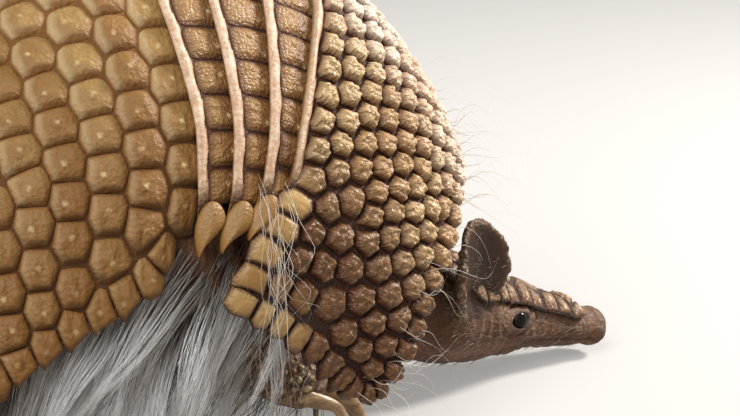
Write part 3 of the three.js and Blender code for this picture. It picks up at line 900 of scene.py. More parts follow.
LEAN = (0.34, 0.2, 0.05)  # how much each band's scutes run up towards the back on their way forwards
POINT_MM, BAND_SCUTE = 7.6, 7.3  # mm of a band's end without scutes, and about how wide its scutes are
lays = [Lay(lambda around, i=i: LIPS[i + 1](around / TIP[i]), 1) for i in range(3)]
ends = [float(lays[i].flat(np.array(float(LIPS[i + 1](1))), np.array(TIP[i]))[1]) for i in range(3)]
for i, shell in enumerate(bands):
    lay, last = lays[i], ends[i]
    shell.slab(f"band_{i + 1}_plate", 36, 198, band_horn, spacing=1.6)

    def front_of(y, i=i, shell=shell):
        v = min(1.0, abs(y) / ends[i])
        return float(lays[i].flat(np.array(float(shell.front(v))), np.array(v * TIP[i]))[0]) - 0.4

    outlines, seeds = [], []
    count = 2 * round((last - POINT_MM) / BAND_SCUTE)
    wide = 2 * (last - POINT_MM) / count
    for k in range(count):
        y = (k + 0.5 - count / 2) * wide
        far = [front_of(y - wide / 2), front_of(y), front_of(y + wide / 2)]
        middle = (LIP_MM + far[1]) / 2
        seeds.append((middle, y))
        shape = [(LIP_MM, -wide / 2), (far[0], -wide / 2), (far[1], 0), (far[2], wide / 2), (LIP_MM, wide / 2)]
        climb = -math.copysign(LEAN[i] * smooth(abs(y), 4, 30) * (1 - smooth(abs(y), 66, 78)), y)
        outlines.append([(x - middle, across + climb * (x - LIP_MM)) for x, across in shape])

    def band_surface(local, rise, n, flat, i=i, lay=lay):
        rib, around = lay.shell(flat[:, 0], flat[:, 1])
        v = np.abs(around) / TIP[i]
        ahead = (rib - LIPS[i + 1](v)) / (LIPS[i](v) - LIPS[i + 1](v))
        crown = 0.05 + 0.7 * smooth(rise, 0, 0.55) ** 0.8
        lumps = 0.26 * (1 - smooth(pebbles(local, n, 1.7, 9), 0.08, 0.62)) * smooth(rise, 0.08, 0.35)
        ochre = 0.35 * smooth(np.abs(flat[:, 1]), 60, 88)
        # the last value is painted shade: darker towards the hem and where the band runs under the lip before it
        return crown + lumps, ochre, 0.25 * smooth(v, 0.2, 0.5) + 0.75 * smooth(ahead, 0.55, 0.95)

    cover, turns = shell_cover(shell, lay), np.broadcast_to(np.eye(2), (count, 2, 2))
    scutes(
        f"band_{i + 1}_scutes", cover, np.array(seeds), outlines, turns, band_surface, band_horn,
        groove=0.3, rounding=1.3, cuts=8,
    )

SHOWN_BY = {
    "pelvic_shield": "pelvic_shell",
    "scapular_shield": "scapular_shell",
    "band_1": "band_1_plate",
    "band_2": "band_2_plate",
    "band_3": "band_3_plate",
}
for node, name in SHOWN_BY.items():
    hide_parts(node)

# ---- flesh: smooth forms for the soft parts, grown together into one skin ----
def curve(points, t):
    """A smooth curve through points, at shares t of its way, and its direction there."""
    p = np.array(points, float)
    p = np.vstack([2 * p[0] - p[1], p, 2 * p[-1] - p[-2]])
    at = np.clip(np.asarray(t, float), 0, 1) * (len(points) - 1)
    i = np.minimum(at.astype(int), len(points) - 2)
    s = (at - i)[..., None]
    a, b, c, d = p[i], p[i + 1], p[i + 2], p[i + 3]
    spot = 0.5 * (2 * b + (c - a) * s + (2 * a - 5 * b + 4 * c - d) * s**2 + (3 * b - a - 3 * c + d) * s**3)
    way = 0.5 * ((c - a) + 2 * (2 * a - 5 * b + 4 * c - d) * s + 3 * (3 * b - a - 3 * c + d) * s**2)
    return spot, unit(way)


class Limb:
    """A round form along a curve. Its surface is known by t along it and by degrees round from its top."""

    def __init__(self, points, radius, wide=(1, 1), deep=(1, 1), cap=1.0):
        self.points, self.cap = points, cap
        self.radius, self.wide, self.deep = mixed(*radius), mixed(*wide), mixed(*deep)

    def surface(self, t, around, lift=0.0, beyond=0.0, ring=1.0):
        """Beyond its ends, by beyond of its end's radius, its rings are smaller, by ring."""
        spot, way = curve(self.points, t)
        side = unit(np.cross(np.cross(way, np.array([0, 1.0, 0])), way))
        up = np.cross(side, way) * -1
        up = np.where(up[..., 2:] < 0, -up, up) if abs(way[..., 2]).max() < 0.95 else np.cross(way, side)
        f = np.radians(around)
        r = self.radius(t)
        across = np.asarray(ring * np.sin(f) * (r * self.wide(t) + lift))[..., None]
        high = np.asarray(ring * np.cos(f) * (r * self.deep(t) + lift))[..., None]
        return spot + way * np.asarray(beyond * (r * self.cap + lift))[..., None] + side * across + up * high

    def mesh(self, grow=0.0, rounds=32, steps=44):
        """The form as a closed mesh, from a sphere whose middle rings are spread along the curve."""
        caps = 8
        rings = steps + 2 * caps
        bm, p = ball(rounds, rings)
        at = np.arccos(np.clip(p[:, 2], -1, 1)) / math.pi * rings
        t = np.clip((at - caps) / steps, 0, 1)
        start, end = np.clip(1 - at / caps, 0, 1), np.clip((at - steps - caps) / caps, 0, 1)
        turned = np.maximum(start, end) * math.pi / 2
        beyond = np.sin(turned) * np.where(start > 0, -1, 1)
        around = np.degrees(np.arctan2(p[:, 0], p[:, 1]))
        return reshaped(bm, self.surface(t, around, grow, beyond, np.cos(turned)))


def ball(rounds, rings):
    """A ball of radius 1, and its points."""
    bm = bmesh.new()
    bmesh.ops.create_uvsphere(bm, u_segments=rounds, v_segments=rings, radius=1)
    return bm, np.array([v.co[:] for v in bm.verts])


def reshaped(bm, points):
    """The same mesh with its points moved."""
    for v, q in zip(bm.verts, points):
        v.co = q
    bmesh.ops.recalc_face_normals(bm, faces=bm.faces[:])
    return bm


FORE_X, FORE_Y, HIND_X, HIND_Y = 40.0 + SHIFT, 22.5, -46.0 + SHIFT, 30.0
SIDES = {"left": 1, "right": -1}
neck_line = [(48 + SHIFT, 0, 36), (59 + SHIFT, 0, 28), (69 + SHIFT, 0.5, 21)]
tail_line = [(-66 + SHIFT, 0, 33), (-88 + SHIFT, 0, 29), (-105 + SHIFT, 0, 20.5), (-117 + SHIFT, 0, 12.5)]
limbs = {"neck": Limb(neck_line, (21, 17, 14.2)), "tail": Limb(tail_line, (12.5, 11.5, 8.5, 4.5), (1.12, 1.12))}
for name, side in SIDES.items():
    y = FORE_Y * side
    line = [(FORE_X - 14, 1.08 * y, 44), (FORE_X - 20, 1.2 * y, 29), (FORE_X - 9, y, 18), (FORE_X, y, 12.5)]
    limbs[f"foreleg_{name}"] = Limb(line, (12.5, 10, 7, 6), (1, 1, 1.05, 1.2))
    y = HIND_Y * side
    line = [(HIND_X + 6, 0.86 * y, 40), (HIND_X + 14, 1.02 * y, 27), (HIND_X - 4, y, 13), (HIND_X - 6, y, 8)]
    limbs[f"thigh_{name}"] = Limb(line, (15.5, 11.5, 7.5, 6.8))
    line = [(HIND_X - 9, y, 5.4), (HIND_X + 3, y, 4.8), (HIND_X + 15, 1.02 * y, 3.8)]
    limbs[f"foot_{name}"] = Limb(line, (6.3, 6.4, 5.2), (1, 1.25, 1.5), (1, 0.95, 0.8))
# each claw: its mm outwards from the foot's middle, how far ahead its tip is, its radius, and its root's height
FORE_TOES = [(-6.2, 6, 1.6, 10), (-2.5, 14, 2.5, 12.5), (2.5, 14.5, 2.9, 12.5), (6.6, 8, 1.9, 10.5)]
HIND_TOES = [
    (-7.6, 20, 1.6, 4.2), (-4.2, 25.5, 2.2, 4.2), (0, 27, 2.4, 4.2), (4.2, 25.5, 2.2, 4.2), (7.8, 20, 1.6, 4.2),
]


def head_form():
    """The head with a round nose and a round back, each a cap of the ball."""
    bm, p = ball(56, 72)
    stretch = 0.62
    along = np.clip(p[:, 2] * stretch + 0.5, 0, 1)
    around = np.degrees(np.arctan2(-p[:, 0], p[:, 1]))
    edge = 0.5 / stretch
    turned = np.clip((np.abs(p[:, 2]) - edge) / (1 - edge), 0, 1) * math.pi / 2
    beyond = np.where(p[:, 2] > 0, 3.4, -6.0) * np.sin(turned)
    at = head_surface(along, around)
    shrink = np.cos(turned)
    return reshaped(bm, from_head(np.stack([at[:, 0] + beyond, at[:, 1] * shrink, at[:, 2] * shrink], -1)))


# an ear's height and greatest half width in mm, its width at the root as a share, its hollow in mm, and its turn
EAR_HIGH, EAR_WIDE, EAR_BASE, EAR_CUP, EAR_OUT = 27.0, 9.0, 0.55, 5.5, 72.0


def ear_frame(side):
    """Where an ear's root is on the head, and its turn."""
    ear_turn = turn("Y", -HEAD_PITCH) @ turn("X", -9 * side) @ turn("Z", EAR_OUT * side)
    return np.array([14, 12.6 * side, -1.5]), ear_turn


def ear_width(high):
    return EAR_WIDE * (EAR_BASE + (1 - EAR_BASE) * smooth(high, 0, 0.55))


def ear_bow(high, across):
    """How far the ear's middle sheet is from flat, by height 0 to 1 and by -1 to 1 across."""
    return EAR_CUP * (across**2 - 0.6) * (0.4 + 0.6 * np.clip(high, 0, 1))


def ear_form(side):
    bm, p = ball(64, 56)
    high, across = (p[:, 2] + 1) / 2, p[:, 1]
    thick = np.sign(p[:, 0]) * np.abs(p[:, 0]) ** 0.45 * 0.95
    root, ear_turn = ear_frame(side)
    p = np.stack([thick + ear_bow(high, across), across * ear_width(high), high * EAR_HIGH], -1)
    return reshaped(bm, from_head(p @ ear_turn.T + root))


COAT_DEPTH = 9.0  # mm that the belly's skin is above the underside of the trunk with its coat


def trunk_form():
    """The trunk as CAD made it, drawn in where the coat hangs over it."""
    bm = bmesh.new()
    bm.from_mesh(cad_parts["trunk"].data)
    bmesh.ops.remove_doubles(bm, verts=bm.verts[:], dist=1e-6)
    p = np.array([v.co[:] for v in bm.verts]) / MM
    low = 1 - smooth(p[:, 2], 22, 46)
    p[:, 2] += COAT_DEPTH * low
    p[:, 1] *= 1 - 0.1 * low
    return reshaped(bm, p)


forms = [trunk_form(), head_form(), ear_form(1), ear_form(-1)] + [limb.mesh(0.15) for limb in limbs.values()]
bulk = bmesh.new()
for form in forms:
    part = bpy.data.meshes.new("form")
    form.to_mesh(part)
    form.free()
    bulk.from_mesh(part)
    bpy.data.meshes.remove(part)
bmesh.ops.scale(bulk, vec=(MM, MM, MM), verts=bulk.verts[:])
skin_mesh = bpy.data.meshes.new("skin")
bulk.to_mesh(skin_mesh)
bulk.free()
skin = placed("skin", skin_mesh)


def settle():
    """Applies the skin's modifiers to its mesh."""
    bpy.context.view_layer.update()
    made = bpy.data.meshes.new_from_object(skin.evaluated_get(bpy.context.evaluated_depsgraph_get()))
    skin.modifiers.clear()
    skin.data = made
    return made


grown = skin.modifiers.new("grown", "REMESH")
SKIN_STEP = 0.65  # mm between the skin's points
grown.mode, grown.voxel_size, grown.adaptivity = "VOXEL", SKIN_STEP * MM, 0.0
softened = skin.modifiers.new("softened", "SMOOTH")
softened.factor, softened.iterations = 0.5, 6
skin_mesh = settle()


# thinned twice, to a share of its faces where the shell or the coat covers it, then less where it shows
for share, kept in ((0.1, "shown"), (0.45, "fine")):
    spots = read(skin_mesh.vertices, "co", 3) / MM
    notch = (np.abs(spots[:, 0] - FAN_X + 4) < 26) & (spots[:, 2] < 68) & (np.abs(spots[:, 1]) > 30)
    plain = (spots[:, 0] < 52 + SHIFT) & ~notch
    if kept == "shown":
        plain &= (spots[:, 2] > 38) & (spots[:, 0] > -78)
    group = skin.vertex_groups.new(name=kept)
    group.add([int(i) for i in np.flatnonzero(plain)], 1.0, "REPLACE")
    thinned = skin.modifiers.new(kept, "DECIMATE")
    thinned.vertex_group, thinned.ratio = kept, 1 - (1 - share) * float(plain.mean())
    skin_mesh = settle()

# ---- the skin's folds, lids, nostrils, mouth and ears ----
HASHES = np.array([(127.1, 311.7, 74.7), (269.5, 183.3, 246.1), (113.5, 271.9, 124.6)])


def cloud(p, size, seed):
    """A smooth random value from -1 to 1 at each point, in lumps of a size in mm."""
    q = p / size + seed * 17.31
    i = np.floor(q)
    f = q - i
    f = f * f * (3 - 2 * f)
    out = np.zeros(len(p))
    for corner in np.ndindex(2, 2, 2):
        out += np.prod(np.where(corner, f, 1 - f), -1) * (2 * scatter((i + corner) @ HASHES[0]) - 1)
    return out


def studded(p, size, seed):
    """Height from 0 to 1 of scattered round grains of a size in mm."""
    q = p / size + seed * 11.7
    base = np.floor(q)
    best = np.full(len(p), 9.0)
    for corner in np.ndindex(3, 3, 3):
        c = base + np.array(corner) - 1
        jitter = np.stack([scatter(c @ k) for k in HASHES], -1)
        best = np.minimum(best, np.linalg.norm(c + 0.5 + 0.4 * (2 * jitter - 1) - q, axis=1))
    return 1 - smooth(best, 0.1, 0.6)


def near(x, middle, width):
    """1 at the middle, fading out over the width."""
    return np.exp(-(((x - middle) / width) ** 2))


points, normals = read(skin_mesh.vertices, "co", 3) / MM, read(skin_mesh.vertices, "normal", 3)
dark, scaly = np.zeros(len(points)), np.zeros(len(points))
push = 0.25 * cloud(points, 5.0, 1) + 0.12 * cloud(points, 2.0, 2)  # mm that each point moves outwards

px, py, pz = points.T
q = (points - np.array(HEAD_AT)) @ HEAD_TURN  # the head's own frame
qx, qy, qz = q.T
along = qx / HEAD_LENGTH
HEAD_ROOM = 21.0  # mm from the head's axis, past all of the head but its ears
on_head = smooth(along, -0.05, 0.15) * (np.hypot(qy, qz) < HEAD_ROOM)
around = np.degrees(np.arctan2(qy / head_wide(along), qz / head_high(along)))
LID_LONG, LID_HIGH, LID_SLOPE = 2.9, 1.5, 0.12  # half the eye's opening in mm, and its tilt
for side in SIDES.values():
    # the ear's thick rim, its ribbed hollow, and the strip of grains along its front edge
    root, ear_turn = ear_frame(side)
    out, across, high = ((q - root) @ ear_turn).T
    high = high / EAR_HIGH
    across = across / ear_width(high)
    thick = out - ear_bow(high, across)
    ear = smooth(high, 0.12, 0.2) * (np.abs(thick) < 3) * (np.abs(across) < 1.3) * (high < 1.1)
    rim = ear * smooth(np.hypot(across, np.clip(2 * high - 1, 0, 2)), 0.8, 0.93)
    inner = ear * smooth(thick, -0.1, 0.5)
    push += rim * 0.28 + inner * (1 - rim) * 0.22 * np.sin(9 * across + 2.5 * high) * smooth(high, 0.9, 0.3)
    push += ear * (1 - inner) * 0.3 * (studded(points, 1.9, 3) - 0.4)
    strip = ear * smooth(-across, 0.62, 0.8) * (thick > -1.5)
    push += strip * (0.5 + 0.45 * studded(points, 1.3, 6))
    dark = np.maximum(dark, inner * (1 - 0.7 * rim) * (1 - strip))
    scaly = np.maximum(scaly, ear * np.maximum(1 - inner, rim) + strip)
    on_head = on_head * (1 - ear)

    # eyelids, an almond opening over the eye with two folds round it
    centre = head_surface(np.array(EYE_ALONG), np.array(EYE_ROUND * side), -EYE_SUNK)
    dx, dz = qx - centre[0], qz - centre[2]
    open_by = np.hypot(dx / LID_LONG, (dz - LID_SLOPE * dx) / LID_HIGH) + 1e-6
    corner = np.abs(dx / LID_LONG) / open_by
    beside = (qy * side > 4) * on_head
    push += beside * (lerp(1.6, 0.45, corner**2) * near(open_by, 1.25, 0.42) - 1.4 * (1 - smooth(open_by, 0.55, 1.0)))
    push += beside * 0.38 * np.cos(open_by * 6.6) * near(open_by, 2.5, 0.9)
    dark = np.maximum(dark, beside * 0.8 * near(open_by, 1.0, 0.5))

# mouth, nose pad and nostrils
lip_line = lerp(112, 124, along)
mouth = on_head * smooth(along, 0.5, 0.6) * near((np.abs(around) - lip_line) * 0.11, 0, 0.42)
push -= 0.75 * mouth
# the mouth's slit darkened: painted shade
dark = np.maximum(dark, 0.7 * mouth)
cheek = on_head * smooth(along, 0.12, 0.3) * smooth(along, 0.9, 0.7)
push += cheek * 0.16 * np.sin(qx * 1.9 + 2.2 * cloud(points, 7, 4))
nose = on_head * smooth(along, 0.965, 1.0)
push += 0.35 * nose - on_head * 0.3 * near(along, 0.955, 0.012)
for side in SIDES.values():
    hole = np.exp(-(((qy - 2.5 * side) / 0.9) ** 2 + ((qz - 0.4) / 1.0) ** 2))
    nostril = on_head * hole * smooth(qx, 57.2, 58.4)
    push -= 1.9 * nostril
    # the nostrils darkened: painted shade in the holes
    dark = np.maximum(dark, nostril)
push -= nose * 0.3 * near(qy, 0, 0.35)
dark = np.maximum(dark, 0.35 * nose)

# loose skin of the neck, the flanks and the bends of the legs
reach = px - SHIFT
neck_fold = smooth(reach, 46, 52) * smooth(reach, 74, 66) * (pz < 60) * (np.abs(qy) < 26)
push += neck_fold * 0.75 * np.sin(reach * 1.5 + 1.3 * cloud(points, 9, 5))
flank = smooth(pz, 22, 30) * (np.abs(py) > 26) * (reach < 46)
folds = 0.5 * np.sin(reach * 0.95 + 0.35 * pz + 2.6 * cloud(points, 11, 6))
push += flank * (folds + 0.2 * np.sin(reach * 2.9 + 2 * cloud(points, 6, 7)))
leg = smooth(pz, 26, 18) * (np.abs(py) > 12) * (reach < 62)
push += leg * (0.28 * (studded(points, 2.6, 8) - 0.35) + 0.2 * np.sin(pz * 1.7 + 2 * cloud(points, 8, 9)))
scaly = np.maximum(scaly, 0.75 * leg)
belly = smooth(-normals[:, 2], 0.2, 0.8) * (pz > 8) * (pz < 50)
pale = np.clip(belly + 0.6 * on_head * smooth(np.abs(around), 115, 150), 0, 1)
scaly = np.maximum(scaly, on_head * 0.5 * smooth(np.abs(around), 120, 80))

points += normals * push[:, None]
points[:, 2] = np.maximum(points[:, 2], FLOOR_GAP + 0.15 * (points[:, 2] > -0.4))
write(skin_mesh, points, {"pale": pale, "dark": dark, "scaly": scaly})


def hide(name, brown, pink):
    """Bare leathery skin: mottled, finely wrinkled, grained where it is scaly."""
    f = Finish(name)
    pale, dark, scaly = f.value("pale"), f.value("dark"), f.value("scaly")
    blotch, fleck = f.noise(0.12, 4.0), f.noise(0.9, 5.0, 0.7)
    grain = f.ramp(f.grains(0.85, rough=0.5), 0.1, 0.7)
    creases = 1 - (1 - f.ramp(f.grains(0.95, "DISTANCE_TO_EDGE"), 0.0, 0.12)) * (1 - dark)
    colour = f.layered(
        f.mix(f.ramp(blotch, 0.35, 0.65), brown, scaled(brown, 0.62, 0.58, 0.55)),
        (pale * 0.85, f.mix(f.ramp(fleck, 0.3, 0.7), pink, scaled(pink, 0.8))),
        (f.ramp(fleck, 0.5, 0.75) * 0.35, scaled(brown, 1.7)),
        (scaly * (1 - grain) * 0.8, shade(0.58, 0.52, 0.43)),
        (dark * 0.86, shade(0.18, 0.105, 0.07)),
        ((1 - creases) * 0.3, scaled(brown, 0.35)),
    )
    rough = 0.52 + 0.2 * fleck - 0.12 * dark
    bump = f.bump((1 - grain) * (0.3 + scaly * 0.9) + creases * 0.35 + fleck * 0.4, 0.28, 0.85)
    return f.done(Base_Color=colour, Roughness=rough.clipped(), Normal=bump, Specular_IOR_Level=0.3)


dressed(skin, hide("bare_skin", shade(0.43, 0.3, 0.21), shade(0.68, 0.52, 0.45)))
legs = "foreleg_left", "foreleg_right", "hindleg_left", "hindleg_right"
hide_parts("trunk", "neck", "head", "tail", "ear_left", "ear_right", *legs)

# ---- eyes ----
f = Finish("wet_eye")
iris = f.mix(f.ramp(f.noise(0.5, 3.0), 0.3, 0.7), shade(0.06, 0.04, 0.03), shade(0.12, 0.075, 0.05))
dull = f.bump(f.noise(2.0), 0.02, 0.3)
eye_finish = f.done(Base_Color=iris, Roughness=0.1, IOR=1.36, Specular_IOR_Level=0.2, Normal=dull)
for name, side in SIDES.items():
    centre = from_head(head_surface(np.array(EYE_ALONG), np.array(EYE_ROUND * side), -EYE_SUNK))

    def in_socket(p, _, centre=centre):
        return p * EYE_RADIUS * 0.97 + centre, {}

    eye = finished(f"eyeball_{name}", ball(40, 32)[0], in_socket, eye_finish)
    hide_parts(f"eye_{name}")

# ---- claws ----
f = Finish("claw_horn")
streak = f.noise(0.5, 4.0, 0.6, stretch=(0.35, 2.2, 1.0))
horn = f.mix(f.ramp(streak, 0.35, 0.65), shade(0.72, 0.6, 0.43), shade(0.5, 0.37, 0.23))
horn = f.mix(f.ramp(f.noise(2.2, 5.0, 0.7), 0.55, 0.8) * 0.6, horn, shade(0.3, 0.2, 0.12))
rough, relief = (0.3 + 0.3 * streak).clipped(), f.bump(streak, 0.18, 0.8)
claw_finish = f.done(Base_Color=horn, Roughness=rough, Normal=relief, Coat_Weight=0.15)


def on_floor(p, _):
    return np.maximum(p, [-np.inf, -np.inf, FLOOR_GAP]), {}


def claw(name, node, root, tip, radius, sag):
    """A claw from root to tip that bows forwards and up by sag."""
    middle = (np.array(root) + tip) / 2 + np.array([sag, 0, abs(sag) * 0.6])
    form = Limb([root, tuple(middle), tip], (radius, radius * 0.66, radius * 0.32), (0.72, 0.72))
    piece = finished(name, form.mesh(rounds=20, steps=20), on_floor, claw_finish)
    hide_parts(node)


HIND_CLAW = 11  # mm, how long the part of a hind claw outside the foot is
for name, side in SIDES.items():
    for k, (sideways, reach, radius, top) in enumerate(FORE_TOES, 1):
        y = FORE_Y * side + sideways * side
        root, tip = (FORE_X, y, top), (FORE_X + reach, y, 0.4 + radius * 0.3)
        claw(f"fore_nail_{name}_{k}", f"fore_claw_{name}_{k}", root, tip, radius, 2.6)
    for k, (sideways, reach, radius, top) in enumerate(HIND_TOES, 1):
        y = HIND_Y * side + sideways * side
        root, tip = (HIND_X + reach - HIND_CLAW, y, top), (HIND_X + reach, y, 0.8 + radius * 0.3)
        claw(f"hind_nail_{name}_{k}", f"hind_claw_{name}_{k}", root, tip, radius, 0.6)

# ---- scutes on the head, tail, legs and feet ----
def honeycomb(cover, x_span, y_span, pitch, jitter, seed):
    """Seeds, polygons and turns of an uneven honeycomb over a patch of a cover."""
    draw = np.random.default_rng(seed)
    spots, wide = [], y_span[1] - y_span[0]
    rows, count = max(2, round((x_span[1] - x_span[0]) / pitch / 0.87)), max(1, round(wide / pitch))
    for i in range(rows):
        x = x_span[0] + (i + 0.5) * (x_span[1] - x_span[0]) / rows
        y = y_span[0] + (np.arange(count) + 0.25 + 0.5 * (i % 2)) * wide / count
        spots.append(row_at(x, y))
    seeds = np.concatenate(spots)
    seeds += draw.normal(0, jitter, seeds.shape)
    return seeds, *cover.cells(seeds, seeds[:0], pitch * 0.72)


def domed(crown, grain, base=0.0):
    """A surface for scutes that swell by crown mm, with grains that stand up by grain mm."""

    def surface(local, rise, n, flat):
        up = base + crown * (1 - (1 - rise) ** 2) ** 0.65
        return up + grain * (1 - smooth(pebbles(local, n, 1.3, 2), 0.05, 0.6)) * smooth(rise, 0.05, 0.4), 0.0, 0.0

    return surface


HEAD_ROUND = 13.0  # mm, how the head's plate is laid flat
head_spread = mixed(50, 64, 60, 58, 62, 66)  # degrees round to its edge, from the back of the head to the nose


def head_spot(x, y, lift):
    return from_head(head_surface(x / HEAD_LENGTH, np.degrees(y / HEAD_ROUND), lift))


def head_edge(u, v):
    y = v / 2
    along = lerp(0.02 + 0.4 * y * y, 0.86, u) * HEAD_LENGTH
    return np.stack([along, np.radians(v * head_spread(u)) * HEAD_ROUND], -1)


def head_slab(p, _):
    x, y = head_edge(0.02 + 0.96 * p[:, 0], 0.97 * (2 * p[:, 1] - 1)).T
    return head_spot(x, y, np.where(p[:, 2] > 0.5, 1.25, 0.3)), {"flat_x": x, "flat_y": y}


head_horn = horn_scutes(
    "head_horn", shade(0.55, 0.42, 0.28), shade(0.5, 0.37, 0.22), shade(0.2, 0.12, 0.08), 1.2, 0.22, 0.42
)
plate = finished("head_plate", slab(40, 26), head_slab, head_horn)
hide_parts("head_shield")
ring = np.concatenate([head_edge(u, v) for u, v in way_round(40)])
cover, rows = Cover(head_spot), 4 + 5.2 * np.arange(9)
*laid, _ = mosaic(cover, ring, np.concatenate([ring, ring[:1]]), rows, 5.6, 0.35, 21, (4.6, 2.3), 0.9, lobe=0.2)
swelling = domed(0.8, 0.15, base=1.15)
scutes("head_scutes", cover, *laid, swelling, head_horn, groove=0.45, rounding=1.6, cuts=5, depth=-0.5)


def limb_cover(limb, base):
    """A limb laid flat so that scutes narrow as it does. Gives its length so, its width there, and the cover."""
    t = np.linspace(0, 1, 200)
    spine = curve(limb.points, t)[0]
    r = float(limb.radius(0.0))
    steps = np.linalg.norm(np.diff(spine, axis=0), axis=1) / limb.radius((t[1:] + t[:-1]) / 2)
    walk = np.concatenate([[0], np.cumsum(steps)]) * r
    cover = Cover(lambda x, y, lift: limb.surface(np.interp(x, walk, t), np.degrees(y / r), base + lift))
    return walk[-1], r, cover


tail_horn = horn_scutes(
    "tail_horn", shade(0.56, 0.43, 0.3), shade(0.5, 0.37, 0.23), shade(0.24, 0.15, 0.1), 1.2, 0.2, 0.42
)
length, r, cover = limb_cover(limbs["tail"], 0.05)
half_round = math.pi * r
laid = honeycomb(cover, (length * 0.1, length * 0.985), (-half_round, half_round), 2 * half_round / 14, 0.25, 31)
scutes("tail_scutes", cover, *laid, domed(1.15, 0.25), tail_horn, groove=0.8, rounding=1.2, cuts=4, depth=1.0)

leg_horn = horn_scutes(
    "leg_horn", shade(0.62, 0.52, 0.4), shade(0.55, 0.44, 0.3), shade(0.3, 0.2, 0.14), 1.1, 0.18, 0.45
)
# where scutes are on each part of a leg, as shares of its length and degrees round, and how far apart in mm
LEG_SCUTES = {
    "foreleg": ((0.4, 0.99), (-125, 125), 3.9),
    "thigh": ((0.5, 0.98), (-120, 120), 4.4),
    "foot": ((0.1, 0.99), (-78, 78), 3.9),
}
leg_look = {"groove": 0.9, "rounding": 1.0, "segments": 1, "cuts": 4, "depth": 0.9}
for name, side in SIDES.items():
    for part, (span, arc, pitch) in LEG_SCUTES.items():
        length, r, cover = limb_cover(limbs[f"{part}_{name}"], 0.1)
        x_span, y_span = (length * span[0], length * span[1]), tuple(math.radians(a) * r for a in arc)
        laid = honeycomb(cover, x_span, y_span, pitch * 1.15, 0.4, 40 + side)
        scutes(f"{part}_scutes_{name}", cover, *laid, domed(0.7, 0.1), leg_horn, **leg_look)

# ---- the bands' points, smooth and yellow ----
for i, (lay, end) in enumerate(zip(lays, ends)):
    for name, side in SIDES.items():

        def drop(p, _, lay=lay, end=end, side=side):
            taper = 1 - 0.9 * smooth(p[:, 1], -0.3, 1.15)
            x = 2.7 - 2.3 * smooth(p[:, 1], -0.3, 1.0) + p[:, 0] * 3.2 * taper
            y = side * (end - 3.4 + p[:, 1] * 5.3)
            rib, around = lay.shell(x, y)
            ridge = 0.4 * np.exp(-((p[:, 0] / 0.3) ** 2)) * (p[:, 2] > 0)
            marks = {"rise": 0.1 + 0.9 * np.clip(p[:, 2] * 1.6, 0, 1), "dim": 0.25, "flat_x": x, "flat_y": y}
            marks["ochre"] = lerp(0.9, 0.5, smooth(p[:, 1], 0, -1))
            return dome(rib, around, 0.1 + p[:, 2] * 1.7 + ridge), marks

        finished(f"band_{i + 1}_point_{name}", ball(28, 20)[0], drop, band_horn)

# ---- coat: long pale hair below the shell, fine hair on the legs, wiry hairs at the front ----
def strand_shape(rings):
    """One hair as a closed three-sided spike along z from 0 to 1, as arrays."""
    bm = bmesh.new()
    bmesh.ops.create_cone(bm, cap_ends=True, cap_tris=True, segments=3, radius1=1, radius2=0.25, depth=1)
    bmesh.ops.translate(bm, verts=bm.verts[:], vec=(0, 0, 0.5))
    sides = [e for e in bm.edges if abs(e.verts[0].co.z - e.verts[1].co.z) > 0.5]
    bmesh.ops.subdivide_edges(bm, edges=sides, cuts=rings - 1)
    bmesh.ops.triangulate(bm, faces=bm.faces[:])
    bm.verts.index_update()
    shape = np.array([v.co[:] for v in bm.verts]), np.array([[v.index for v in f.verts] for f in bm.faces])
    bm.free()
    return shape


PLAIN, FINE = strand_shape(6), strand_shape(13)  # a hair of the coats, and one of the few long loose ones
BODY_ROUND, BODY_MIDDLE = (-85.0, 60.0), 42.0  # mm along the body that the coat's map covers, and its height
HAIR_GAP = 4.0  # mm that hairs keep from the inside of the shell
WIDEST_HAIR = 57.0  # mm from the midline


def beside_shell(points):
    """The points' x, y and z, their share of the way from the fan's axis to the dome, and its half width there."""
    x, y, z = np.moveaxis(points, -1, 0)
    rib = np.degrees(np.arctan2(x - FAN_X, z - FAN_Z))
    share = np.hypot(x - FAN_X, z - FAN_Z) / fan_reach(rib)
    around = np.degrees(np.arccos(np.clip(share, 0, 1) ** (DOME_POWER / 2)))
    return x, y, z, share, np.abs(dome_point(rib, around)[..., 1])


def under_shell(points, _):
    """Hairs keep inside the shell's flanks, and hang no wider than them below."""
    x, y, z, share, wide = beside_shell(points)
    limit = np.maximum(np.where(share < 0.97, wide - HAIR_GAP, 99), 6)
    return np.stack([x, np.sign(y) * (limit - np.logaddexp(0, limit - np.abs(y))), z], -1)


def over_shell(points, s):
    """Loose hairs lie over the shell's scutes."""
    x, y, z, share, wide = beside_shell(points)
    limit = np.where((share < 0.97) & (z > 20), wide + 4.4 * smooth(s, 0, 0.12), 0)
    return np.stack([x, np.sign(y) * np.maximum(np.abs(y), limit), z], -1)


